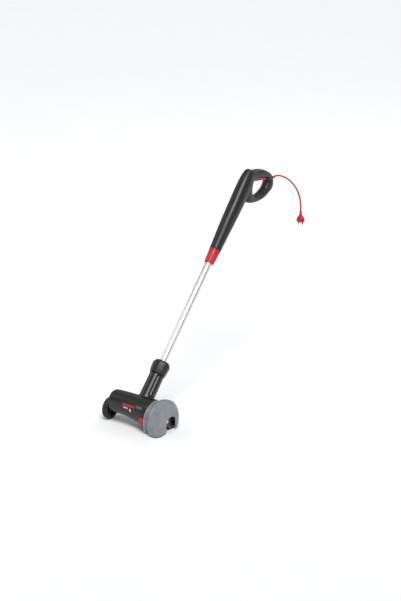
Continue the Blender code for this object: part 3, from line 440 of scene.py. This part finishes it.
def moulded_halves(name, colour, normal, point, roughness=0.40):
    """Grained black plastic with its parting line: a dark hair groove where a plane cuts the skin.

    The distance to the plane is the dot product of the place and the plane's normal, less the offset."""
    material = plastic(name, colour, roughness, 1400, 0.30, 0.16)
    tree = material.node_tree
    shader = tree.nodes["Principled BSDF"]
    place = tree.nodes.new("ShaderNodeTexCoord")
    dot = tree.nodes.new("ShaderNodeVectorMath")
    dot.operation = "DOT_PRODUCT"
    dot.inputs[1].default_value = normal
    tree.links.new(place.outputs["Object"], dot.inputs[0])
    offset = tree.nodes.new("ShaderNodeMath")
    offset.operation = "SUBTRACT"
    offset.inputs[1].default_value = float(np.dot(normal, point))
    tree.links.new(dot.outputs["Value"], offset.inputs[0])
    size = tree.nodes.new("ShaderNodeMath")
    size.operation = "ABSOLUTE"
    tree.links.new(offset.outputs["Value"], size.inputs[0])
    line = tree.nodes.new("ShaderNodeMapRange")
    line.interpolation_type = "SMOOTHSTEP"
    line.inputs["From Min"].default_value = 0.0002
    line.inputs["From Max"].default_value = 0.0007
    tree.links.new(size.outputs["Value"], line.inputs["Value"])
    shade = shader.inputs["Base Color"].links[0].from_socket
    mix = tree.nodes.new("ShaderNodeMix")
    mix.data_type = "RGBA"
    mix.inputs[6].default_value = (0.002, 0.002, 0.002, 1)
    tree.links.new(line.outputs["Result"], mix.inputs[0])
    tree.links.new(shade, mix.inputs[7])
    tree.links.new(mix.outputs[2], shader.inputs["Base Color"])
    groove = tree.nodes.new("ShaderNodeBump")
    groove.inputs["Strength"].default_value = 0.8
    groove.inputs["Distance"].default_value = 0.0006
    tree.links.new(line.outputs["Result"], groove.inputs["Height"])
    tree.links.new(shader.inputs["Normal"].links[0].from_socket, groove.inputs["Normal"])
    tree.links.new(groove.outputs["Normal"], shader.inputs["Normal"])
    return material


parting_groove(handle, (1, 0, 0), (0, 0, 0))
finish(handle, moulded_halves("black_handle_plastic", BLACK, (1, 0, 0), (0, 0, 0)))
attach(handle, "handle")
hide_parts("handle_shell_left", "handle_shell_right")

# ---- Trigger
# One long red rocker along the underside of the grip, moulded in glossy plastic. It turns on a steel
# pin at its front end and pushes the switch's plunger up.
red_plastic = plastic("red_moulded_plastic", RED, 0.34, 900, 0.12, 0.12)
for name in ("trigger", "switch_plunger"):
    finish(nodes[name], red_plastic, smooth=False)

# ---- Twist collar
# The red collar that locks the telescopic tube: a slim cone with shallow grip flutes and a rolled lip.
low, high = 0.666, 0.7277
profile = rounded((
    (low, 0.0149), (low, 0.0188), (low + 0.002, 0.0194), (0.690, 0.0209), (0.7050, 0.0219),
    (high - 0.0072, 0.0224),
    (high - 0.0055, 0.0236), (high - 0.0018, 0.0238), (high, 0.0226), (high, 0.0149),
), 0.0006, 5)
turn = np.linspace(0, 2 * np.pi, 240, endpoint=False)
outside = (profile[1] > 0.0185) & (profile[0] < high - 0.0078) & (profile[0] > low + 0.0010)
flutes = 0.00045 * np.clip(np.cos(20 * turn), -0.2, 1)[None] * outside[:, None]
radius = profile[1][:, None] - 0.00045 * outside[:, None] + flutes
heights = np.repeat(profile[0][:, None], len(turn), 1)
collar_points = on_pole(radius * np.cos(turn), radius * np.sin(turn), heights)
collar = skin("collar_moulding", collar_points, wrap=True, loop=True)
finish(collar, plastic("red_collar_plastic", RED, 0.36, 700, 0.15, 0.12))
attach(collar, "lock_collar")
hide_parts("lock_collar")

# ---- Tube
# A bright drawn aluminium tube with fine lines along it. It slides in the handle and is clamped in
# the neck.
tube_metal = bpy.data.materials.new("drawn_aluminium")
tube_metal.use_nodes = True
tree = tube_metal.node_tree
shader = tree.nodes["Principled BSDF"]
shader.inputs["Metallic"].default_value = 1.0
place = tree.nodes.new("ShaderNodeTexCoord")
lay = tree.nodes.new("ShaderNodeMapping")
lay.vector_type = "TEXTURE"
lay.inputs["Rotation"].default_value = (-LEAN, 0, 0)
lay.inputs["Scale"].default_value = (1, 1, 60)
tree.links.new(place.outputs["Object"], lay.inputs["Vector"])
lines = tree.nodes.new("ShaderNodeTexNoise")
lines.inputs["Scale"].default_value = 900
lines.inputs["Detail"].default_value = 4
tree.links.new(lay.outputs["Vector"], lines.inputs["Vector"])
shade = tree.nodes.new("ShaderNodeValToRGB")
shade.color_ramp.elements[0].position = 0.3
shade.color_ramp.elements[1].position = 0.7
shade.color_ramp.elements[0].color = (0.74, 0.75, 0.76, 1)
shade.color_ramp.elements[1].color = (0.90, 0.90, 0.91, 1)
tree.links.new(lines.outputs["Fac"], shade.inputs["Fac"])
tree.links.new(shade.outputs["Color"], shader.inputs["Base Color"])
gloss = tree.nodes.new("ShaderNodeMapRange")
gloss.inputs["To Min"].default_value = 0.30
gloss.inputs["To Max"].default_value = 0.38
tree.links.new(lines.outputs["Fac"], gloss.inputs["Value"])
tree.links.new(gloss.outputs["Result"], shader.inputs["Roughness"])
bump = tree.nodes.new("ShaderNodeBump")
bump.inputs["Strength"].default_value = 0.015
bump.inputs["Distance"].default_value = 0.0001
tree.links.new(lines.outputs["Fac"], bump.inputs["Height"])
tree.links.new(bump.outputs["Normal"], shader.inputs["Normal"])
wall = rounded(((0.104, 0.0131), (0.104, 0.0145), (0.790, 0.0145), (0.790, 0.0131)), 0.0004, 3)
turn = np.linspace(0, 2 * np.pi, 96, endpoint=False)
heights = np.repeat(wall[0][:, None], len(turn), 1)
tube_points = on_pole(wall[1][:, None] * np.cos(turn), wall[1][:, None] * np.sin(turn), heights)
tube = skin("tube_drawn", tube_points, wrap=True, loop=True)
finish(tube, tube_metal)
edges = tube.modifiers.new("edges", "EDGE_SPLIT")
edges.split_angle = math.radians(40)
settled(tube)
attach(tube, "head")
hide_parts("shaft_tube")

# ---- Clamp nut
# A chunky ten-sided nut of black plastic, with softened edges for the hand. It squeezes the collet
# on the tube.
def softened(node_name, name, voxel, passes):
    """A copy of a CAD node with its doubles merged, rebuilt in small cells and its edges relaxed."""
    shape = bmesh.new()
    shape.from_mesh(nodes[node_name].data)
    bmesh.ops.remove_doubles(shape, verts=shape.verts, dist=0.00001)
    mesh = bpy.data.meshes.new(name)
    shape.to_mesh(mesh)
    shape.free()
    piece = bpy.data.objects.new(name, mesh)
    bpy.context.scene.collection.objects.link(piece)
    return fused(name, [piece], voxel, passes)


nut = softened("clamp_nut", "nut_moulding", voxel=0.0009, passes=6)
black_plastic = plastic("black_moulded_plastic", BLACK, 0.38, 1400, 0.30, 0.16)
finish(nut, black_plastic)
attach(nut, "clamp_nut")
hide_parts("clamp_nut")
finish(nodes["tube_collet"], black_plastic)
finish(nodes["telescope_bush"], black_plastic)
# ---- Housing
# The black motor housing with its neck, moulded in two halves that meet in the plane of the pole. Its
# section is a rounded square that widens towards the gears, and the neck has two flutes. The real one
# is hollow. Here it is one solid skin, so the motor and gears lie buried in it.
HOUSING = through((
    (-0.1280, 0.0815, 0.0330), (-0.1272, 0.0815, 0.0385), (-0.1250, 0.0815, 0.0415),
    (-0.1210, 0.0813, 0.0432), (-0.1000, 0.0806, 0.0444), (-0.0600, 0.0790, 0.0455),
    (0.0000, 0.0715, 0.0510), (0.0350, 0.0650, 0.0560), (0.0540, 0.0622, 0.0578), (0.0596, 0.0617, 0.0580),
), 120)
across, along = superellipse(96, 2.35)
ground = np.array(GROUND)
shell_points = np.stack(np.broadcast_arrays(
    HOUSING[:, :1],
    0.975 * HOUSING[:, 2:] * along[None],
    HOUSING[:, 1:2] + 0.975 * HOUSING[:, 2:] * across[None]), axis=2)
housing_skin = skin("housing_skin", capped(shell_points + ground), wrap=True)
boss_line = rounded(
    ((-0.040, 0), (-0.040, 0.0110), (-0.127, 0.0125), (-0.130, 0.0105), (-0.130, 0)), 0.001)
boss = turned("axle_boss", *boss_line, GROUND + Vector((0, 0, 0.043)), (1, 0, 0), 64)
turn = np.linspace(0, 2 * np.pi, 120, endpoint=False)
rise = np.linspace(0.0, 1.0, 60)
NECK_TOP = 0.157
neck_height = np.concatenate(([0.0], NECK_TOP * rise, [NECK_TOP]))
neck_width = np.interp(NECK_TOP * rise, (0, 0.070, 0.1550, NECK_TOP), (0.0320, 0.0302, 0.0293, 0.0280))
neck_radius = np.concatenate(([0.0], neck_width, [0.0]))
flute = sum(np.exp(-((np.angle(np.exp(1j * (turn - at)))) / 0.13) ** 2) for at in (-0.75, math.pi + 0.75))
flute_end = 1 / (1 + np.exp((neck_height - 0.150) * 900)) * 1 / (1 + np.exp((0.062 - neck_height) * 900))
neck_reach = neck_radius[:, None] - 0.0034 * flute[None] * flute_end[:, None] * (neck_radius[:, None] > 0)
heights = np.repeat(neck_height[:, None], len(turn), 1)
neck = skin("neck_skin", on_pole(neck_reach * np.cos(turn), neck_reach * np.sin(turn), heights), wrap=True)
housing = fused("housing_moulding", [housing_skin, boss, neck], voxel=0.0013, passes=12)
tools = [turned("neck_bore", (0.104, 0.17), (0.0149, 0.0149), Vector(pole_foot), pole_axis, 72)]
for number in range(5):
    step = 0.008 * number
    slot = bar(f"vent_{number}", (-0.090, 0.010, 0.0524 + step), (-0.050, 0.080, 0.0556 + step))
    slot.data.transform(Matrix.Translation(GROUND))
    tools.append(slot)
button_way = bar("button_way", (0.0370, -0.090, 0.0345), (0.0560, -0.040, 0.0655))
button_way.data.transform(Matrix.Translation(GROUND))
tools.append(button_way)
for name in [name for name in nodes if name.startswith("housing_screw")]:
    low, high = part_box(name)
    middle = (Vector(low) + Vector(high)) / 2
    tools.append(turned("screw_way", (-0.0040, 0.060), (0.0038, 0.0038), middle, pole_back, 40))


def closed_ends(piece):
    """The piece with its open rims filled, as a Boolean tool must be."""
    shape = bmesh.new()
    shape.from_mesh(piece.data)
    rims = [edge for edge in shape.edges if edge.is_boundary]
    bmesh.ops.holes_fill(shape, edges=rims)
    bmesh.ops.recalc_face_normals(shape, faces=shape.faces)
    shape.to_mesh(piece.data)
    shape.free()
    return piece


cut_away(housing, *[closed_ends(tool) for tool in tools])
parting_groove(housing, pole_back, pole_foot)
finish(housing, moulded_halves("black_housing_plastic", BLACK, tuple(pole_back), tuple(pole_foot), 0.36))
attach(housing, "head")
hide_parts("housing_front", "housing_rear")

# ---- Front label
# Plain raised labels on the housing's front: a red field, a pale bar and dot, and a grey panel.
# None of them carries lettering.
def on_housing(x, angle, proud):
    """Points on the housing: its section at x, at an angle from the top towards the front, raised by proud.

    The section is the rounded square |y|^2.35 + |z|^2.35 = reach^2.35 about the section's middle height."""
    middle_height = np.interp(x, HOUSING[:, 0], HOUSING[:, 1])
    reach = 0.975 * np.interp(x, HOUSING[:, 0], HOUSING[:, 2]) + proud
    up = np.sign(np.cos(angle)) * np.abs(np.cos(angle)) ** (2 / 2.35)
    front = np.abs(np.sin(angle)) ** (2 / 2.35)
    return np.stack((x, -reach * front, middle_height + reach * up), axis=-1) + ground


def label(name, x, degrees, half_length, half_turn, squareness, colour, lean=0.0, proud=0.0006):
    """A thin label on the housing: superellipse rings about (x, degrees), with the rim sunk below the skin.

    The height above the skin is proud * (1 - 2 * ring^14). lean is how many degrees each end climbs or
    falls from the middle."""
    ring = np.concatenate(([0.0], np.linspace(0.12, 0.84, 9), np.linspace(0.88, 1.0, 7)))[:, None]
    across, along = superellipse(120, squareness)
    place = x + half_length * ring * across
    angle = np.radians(degrees + half_turn * ring * along - lean * ring * across)
    piece = skin(name, on_housing(place, angle, proud * (1 - 2 * ring ** 14)), wrap=True)
    finish(piece, plastic(name + "_print", colour, 0.32, 1200, 0.08, 0.10))
    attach(piece, "head")


label("label_field", -0.0250, 70.0, 0.0320, 6.5, 7.0, RED, 4.0)
label("label_bar", -0.0390, 85.0, 0.0125, 2.6, 5.0, (0.52, 0.53, 0.54), 1.0)
label("label_dot", -0.0158, 87.0, 0.0052, 5.6, 2.0, (0.55, 0.56, 0.57))
label("label_panel", 0.0250, 60.0, 0.0165, 6.5, 5.0, (0.095, 0.098, 0.102), 1.5)

# ---- Blade guard
# A grey moulded guard: a flange ring, a valley and a bulging dome with a flat face, open at the foot.
# An arched notch in its face shows the blade at work.
SPINDLE_Z = 0.046                          # the spindle's height above the ground
axis_place = GROUND + Vector((0, 0, SPINDLE_Z))
outer = rounded((
    (0.0650, 0.0480), (0.0650, 0.0712), (0.0658, 0.0720), (0.0702, 0.0720), (0.0710, 0.0712),
    (0.0735, 0.0658), (0.0786, 0.0655), (0.0800, 0.0720), (0.0850, 0.0762), (0.0925, 0.0820),
    (0.1035, 0.0845), (0.1140, 0.0845), (0.1235, 0.0822), (0.1243, 0.0806), (0.1262, 0.0792),
    (0.1320, 0.0725), (0.1340, 0.0640), (0.1340, 0.0600),
    (0.1332, 0.0580), (0.1332, 0.0),
), 0.0016, 5)
inner = rounded((
    (0.1315, 0.0), (0.1315, 0.0635), (0.1297, 0.0712), (0.1235, 0.0788), (0.1133, 0.0820), (0.1042, 0.0820),
    (0.0938, 0.0796), (0.0857, 0.0728), (0.0790, 0.0638), (0.0725, 0.0635), (0.0690, 0.0590),
    (0.0690, 0.0480),
), 0.0030, 5)
shell_line = np.concatenate((inner, outer), axis=1)
guard = turned("guard_moulding", *shell_line, axis_place, (1, 0, 0), 192)
bridge = bmesh.new()
bridge.from_mesh(guard.data)
rim = [edge for edge in bridge.edges if edge.is_boundary]
bmesh.ops.bridge_loops(bridge, edges=rim)
bmesh.ops.recalc_face_normals(bridge, faces=bridge.faces)
bridge.to_mesh(guard.data)
bridge.free()
foot = bar("guard_foot", (0.0, -0.2, -0.2), (0.2, 0.2, 0.0050))
foot.data.transform(Matrix.Translation(GROUND))
turn = np.linspace(0, np.pi, 48)
arch_y = 0.016 + 0.031 * np.concatenate(([1.0], np.cos(turn), [-1.0]))
arch_z = SPINDLE_Z - 0.006 + np.concatenate(([-0.2], 0.70 * 0.031 * np.sin(turn), [-0.2]))
notch = skin("guard_notch", np.stack(np.broadcast_arrays(
    np.array((0.1262, 0.16))[:, None], arch_y[None], arch_z[None]), axis=2) + ground, wrap=True)
cut_away(guard, foot, closed_ends(notch))
edges = guard.modifiers.new("edges", "BEVEL")
edges.width = 0.0006
edges.segments = 2
edges.limit_method = "ANGLE"
edges.angle_limit = math.radians(50)
settled(guard)
guard_grey = plastic("grey_guard_plastic", (0.205, 0.222, 0.235), 0.20, 260, 0.12, 0.12, 0.10, 30)
finish(guard, guard_grey)
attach(guard, "head")
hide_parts("blade_guard")

# ---- Blade
# A flat double-pointed edging blade of dark hardened steel, with bevelled ends. A washer and a nut
# hold it on the spindle.
length, half, thickness = 0.0785, 0.0150, 0.00125
outline = np.array((
    (length - 0.020, -half), (length, -0.0030), (length, 0.0030), (length - 0.020, half),
    (0.020 - length, half), (-length, 0.0030), (-length, -0.0030), (0.020 - length, -half),
))
share = np.linspace(0, 1, 13)[:-1]
ends = np.roll(outline, -1, axis=0)
outline = (outline[:, None] + share[None, :, None] * (ends - outline)[:, None]).reshape(-1, 2)
angle = math.radians(-35)
bore = 0.0041 * outline / np.linalg.norm(outline, axis=1, keepdims=True)
ground_edge = outline * np.where(np.abs(outline[:, :1]) > 0.058, 0.955, 1.0)
rings = []
layers = (
    (-thickness, bore), (-thickness, ground_edge), (-0.0004, outline),
    (0.0004, outline), (thickness, ground_edge), (thickness, bore),
)
for depth, line in layers:
    along_blade = line[:, 0] * math.cos(angle) - line[:, 1] * math.sin(angle)
    up_blade = line[:, 0] * math.sin(angle) + line[:, 1] * math.cos(angle)
    ring = np.stack((np.full(len(line), 0.118 + depth), along_blade, SPINDLE_Z + up_blade), axis=1)
    rings.append(ring + ground)
blade = skin("blade_ground", np.array(rings), wrap=True, loop=True)


def metal(name, colour, roughness, drift=0.10, grain=400, bumps=0.05, wear=0.0, wear_colour=(0.3, 0.3, 0.3)):
    """Bare or plated metal: noise drifts its gloss and shade, with patches of wear_colour where worn."""
    material = bpy.data.materials.new(name)
    material.use_nodes = True
    tree = material.node_tree
    shader = tree.nodes["Principled BSDF"]
    shader.inputs["Metallic"].default_value = 1.0
    place = tree.nodes.new("ShaderNodeTexCoord")
    marks = tree.nodes.new("ShaderNodeTexNoise")
    marks.inputs["Scale"].default_value = grain
    marks.inputs["Detail"].default_value = 6
    tree.links.new(place.outputs["Object"], marks.inputs["Vector"])
    shade = tree.nodes.new("ShaderNodeValToRGB")
    shade.color_ramp.elements[0].position = 0.30
    shade.color_ramp.elements[1].position = 0.60
    shade.color_ramp.elements[0].color = (*[value * (1 - drift) for value in colour], 1)
    shade.color_ramp.elements[1].color = (*[min(1, value * (1 + drift)) for value in colour], 1)
    if wear:
        worn = shade.color_ramp.elements.new(1 - 0.35 * wear)
        worn.color = (*wear_colour, 1)
    tree.links.new(marks.outputs["Fac"], shade.inputs["Fac"])
    tree.links.new(shade.outputs["Color"], shader.inputs["Base Color"])
    gloss = tree.nodes.new("ShaderNodeMapRange")
    gloss.inputs["To Min"].default_value = roughness - 0.08
    gloss.inputs["To Max"].default_value = roughness + 0.12
    tree.links.new(marks.outputs["Fac"], gloss.inputs["Value"])
    tree.links.new(gloss.outputs["Result"], shader.inputs["Roughness"])
    bump = tree.nodes.new("ShaderNodeBump")
    bump.inputs["Strength"].default_value = bumps
    bump.inputs["Distance"].default_value = 0.0003
    tree.links.new(marks.outputs["Fac"], bump.inputs["Height"])
    tree.links.new(bump.outputs["Normal"], shader.inputs["Normal"])
    return material


dark_blade_steel = metal("hardened_steel", (0.085, 0.083, 0.082), roughness=0.36, drift=0.3, grain=300,
                         bumps=0.15, wear=0.8, wear_colour=(0.30, 0.29, 0.28))
finish(blade, dark_blade_steel, smooth=False)
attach(blade, "blade")
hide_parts("blade")

# ---- Spindle lock button
# The red button low on the housing's front, that holds the spindle while the blade nut is undone. Its
# pin slides inward against a small steel spring. Here the spring is a fixed coil on the head and keeps its
# length.
button_low, button_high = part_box("lock_button")
middle_x, middle_z = (button_low[0] + button_high[0]) / 2, (button_low[2] + button_high[2]) / 2
across, along = superellipse(72, 3.4)
crown = np.array((
    (-0.0120, 1.00), (-0.0016, 1.00), (-0.0007, 0.97), (-0.0001, 0.90), (0.0, 0.80), (0.0006, 0.40)))
button_points = np.stack(np.broadcast_arrays(
    middle_x + 0.0089 * crown[:, 1:] * across,
    button_low[1] - crown[:, :1],
    middle_z + 0.0149 * crown[:, 1:] * along), axis=2)
button = skin("button_cap", capped(button_points), wrap=True)
finish(button, plastic("red_button_plastic", RED, 0.34, 700, 0.12, 0.10))
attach(button, "lock_button")
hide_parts("lock_button")

pin_place = GROUND + Vector((0.0490, 0, 0.042))
pin_line = rounded(((-0.0520, 0), (-0.0520, 0.0022), (-0.0150, 0.0022), (-0.0150, 0)), 0.0004)
pin = turned("button_pin", *pin_line, pin_place, (0, 1, 0), 48)
finish(pin, plastic("red_pin_plastic", RED, 0.40, 700, 0.12, 0.10))
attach(pin, "lock_button")
spring_low, spring_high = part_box("lock_button_spring")
step = np.linspace(0, 1, 6 * 24 + 1)[:, None]
around = np.linspace(0, 2 * np.pi, 10, endpoint=False)
coil_turn = 2 * np.pi * 6 * step
coil_reach = 0.0035 + 0.0004 * np.cos(around)
coil = skin("button_spring", capped(np.stack(np.broadcast_arrays(
    pin_place.x + coil_reach * np.cos(coil_turn),
    spring_low[1] + 0.0004 + 0.0200 * step + 0.0004 * np.sin(around),
    pin_place.z + coil_reach * np.sin(coil_turn)), axis=2)), wrap=True)
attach(coil, "head")
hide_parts("lock_button_spring")
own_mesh(coil)

# ---- Guide wheel
# A small spoked wheel of black plastic with a ribbed rubber tyre. It turns on a shouldered bolt that
# is screwed into the housing's left end.
wheel_middle = GROUND + Vector((-0.146, 0, 0.043))
turn = np.linspace(0, 2 * np.pi, 28 * 12, endpoint=False)
tyre_x = np.array((
    -0.0114, -0.0115, -0.0108, -0.0098, -0.0060, 0.0, 0.0060, 0.0098, 0.0108, 0.0115, 0.0114))
tyre_r = np.array((0.0332, 0.0380, 0.0392, 0.0396, 0.0397, 0.0397, 0.0397, 0.0396, 0.0392, 0.0380, 0.0332))
crest = np.array((0, 0, 0.25, 0.85, 1, 1, 1, 0.85, 0.25, 0, 0))
blocks = 0.5 + 0.5 * np.tanh(5.0 * np.cos(28 * turn) + 0.6)
tyre_reach = tyre_r[:, None] + 0.0027 * crest[:, None] * blocks[None]
tyre = skin("tyre_ribbed", np.stack((
    np.repeat(tyre_x[:, None], len(turn), 1), tyre_reach * np.cos(turn), tyre_reach * np.sin(turn)), axis=2)
    + np.array(wheel_middle), wrap=True, loop=True)
finish(tyre, plastic("black_tyre_rubber", (0.016, 0.016, 0.017), 0.62, 500, 0.5, 0.25), smooth=False)
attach(tyre, "wheel")
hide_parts("wheel_tyre")
hub = softened("wheel_hub", "hub_moulding", voxel=0.0007, passes=4)
finish(hub, black_plastic)
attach(hub, "wheel")
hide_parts("wheel_hub")

# ---- Screws, bolt and nut
# Zinc-plated fixings at the wheel, blade and guard, and blackened screws that hold the mouldings.
# The handle's screws lie under its skin and don't show.
plated = (
    "wheel_axle", "blade_nut", "blade_washer", "spindle", "guard_screw_1", "guard_screw_2", "guard_screw_3")
for name in plated:
    finish(nodes[name], metal(name + "_zinc", (0.62, 0.62, 0.60), 0.28, 0.12, 500, 0.06), smooth=False)
for name in [name for name in nodes if name.startswith(("housing_screw", "handle_screw"))]:
    blackened = metal(name + "_blackened", (0.045, 0.045, 0.047), 0.40, 0.2, 600, 0.08)
    finish(nodes[name], blackened, smooth=False)

# ---- Plug pins
# Bright nickel-plated pins, the half next to the plug in a black insulating sleeve.
for name in ("plug_pin_left", "plug_pin_right"):
    low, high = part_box(name)
    middle_x, middle_y = (low[0] + high[0]) / 2, (low[1] + high[1]) / 2
    finish(nodes[name], metal(name + "_nickel", (0.60, 0.57, 0.50), 0.25, 0.08, 600, 0.03), smooth=False)
    sleeve_line = rounded(((0.0, 0.00245), (0.0, 0.0027), (0.0095, 0.0027), (0.0095, 0.00245)), 0.0001, 3)
    sleeve_foot = (middle_x, middle_y, plug_low[2] - 0.0094)
    sleeve = turned(name + "_sleeve", *sleeve_line, sleeve_foot, (0, 0, 1), 48)
    closing = bmesh.new()
    closing.from_mesh(sleeve.data)
    bmesh.ops.bridge_loops(closing, edges=[edge for edge in closing.edges if edge.is_boundary])
    bmesh.ops.recalc_face_normals(closing, faces=closing.faces)
    closing.to_mesh(sleeve.data)
    closing.free()
    finish(sleeve, black_plastic)
    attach(sleeve, "handle")

finish(coil, metal("spring_wire", (0.55, 0.55, 0.54), 0.28, 0.10, 800, 0.03))

# ---- Inner works
# The motor, gears, bearings and wiring, each in its own finish. Most of them lie buried in the solid
# skins of the housing and handle, and only what the vents and the notch open shows.
inner_finish = {
    "copper": metal("lacquered_copper", (0.42, 0.15, 0.06), 0.34, 0.25, 350, 0.20),
    "brass": metal("sheet_brass", (0.62, 0.44, 0.17), 0.32, 0.12, 350, 0.08),
    "bright_steel": metal("ground_steel", (0.58, 0.58, 0.57), 0.26, 0.10, 450, 0.05),
    "dark_steel": metal("lamination_steel", (0.13, 0.13, 0.14), 0.42, 0.20, 400, 0.12),
    "die_cast": metal("cast_alloy", (0.42, 0.43, 0.44), 0.48, 0.12, 240, 0.30),
    "carbon": plastic("pressed_carbon", (0.012, 0.012, 0.013), 0.55, 900, 0.35, 0.3),
    "black_plastic": black_plastic,
}
dressed = {
    "trigger", "switch_plunger", "wheel_axle", "blade_nut", "blade_washer", "spindle", "tube_collet",
    "telescope_bush", "plug_pin_left", "plug_pin_right",
}
for name, node in nodes.items():
    if name in dressed or name.startswith(("guard_screw", "housing_screw", "handle_screw")):
        continue
    slot_name = node.data.materials[0].name.split(".")[0]
    if slot_name in inner_finish:
        finish(node, inner_finish[slot_name], smooth=False)

# ---- Studio
# A plain pale floor at ground level under a pale sky, with a broad sun as the key and two large soft
# lamps. The plain view transform keeps the blacks and reds from being lifted.
floor_mesh = bpy.data.meshes.new("floor")
HALF_FLOOR = 30.0
floor_corners = [(x * HALF_FLOOR, y * HALF_FLOOR, GROUND.z) for x, y in ((-1, -1), (1, -1), (1, 1), (-1, 1))]
floor_mesh.from_pydata(floor_corners, [], [(0, 1, 2, 3)])
floor = bpy.data.objects.new("floor", floor_mesh)
bpy.context.scene.collection.objects.link(floor)
finish(floor, plastic("pale_floor", (0.86, 0.86, 0.86), 0.9, 40, 0.0, 0.01), smooth=False)
floor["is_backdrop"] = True

world = bpy.data.worlds.new("studio")
world.use_nodes = True
world.node_tree.nodes["Background"].inputs["Color"].default_value = (0.95, 0.97, 1.0, 1)
world.node_tree.nodes["Background"].inputs["Strength"].default_value = 0.42
bpy.context.scene.view_settings.view_transform = "Standard"
bpy.context.scene.world = world
sun = bpy.data.lights.new("key", "SUN")
sun.energy = 2.5
sun.angle = math.radians(28)
sun_object = bpy.data.objects.new("key", sun)
sun_object.rotation_mode = "QUATERNION"
sun_object.rotation_quaternion = Vector((0.55, -0.55, 1.25)).to_track_quat("Z", "Y")
bpy.context.scene.collection.objects.link(sun_object)
for name, spot, size, power in (("fill", (-3.0, -1.6, 1.4), 2.0, 16), ("rim", (0.2, 2.6, 2.4), 1.5, 30)):
    lamp = bpy.data.lights.new(name, "AREA")
    lamp.size = size
    lamp.energy = power
    lamp_object = bpy.data.objects.new(name, lamp)
    lamp_object.location = spot
    lamp_object.rotation_mode = "QUATERNION"
    lamp_object.rotation_quaternion = (Vector(spot) - Vector((0, -0.4, -0.4))).to_track_quat("Z", "Y")
    bpy.context.scene.collection.objects.link(lamp_object)

low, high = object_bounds()
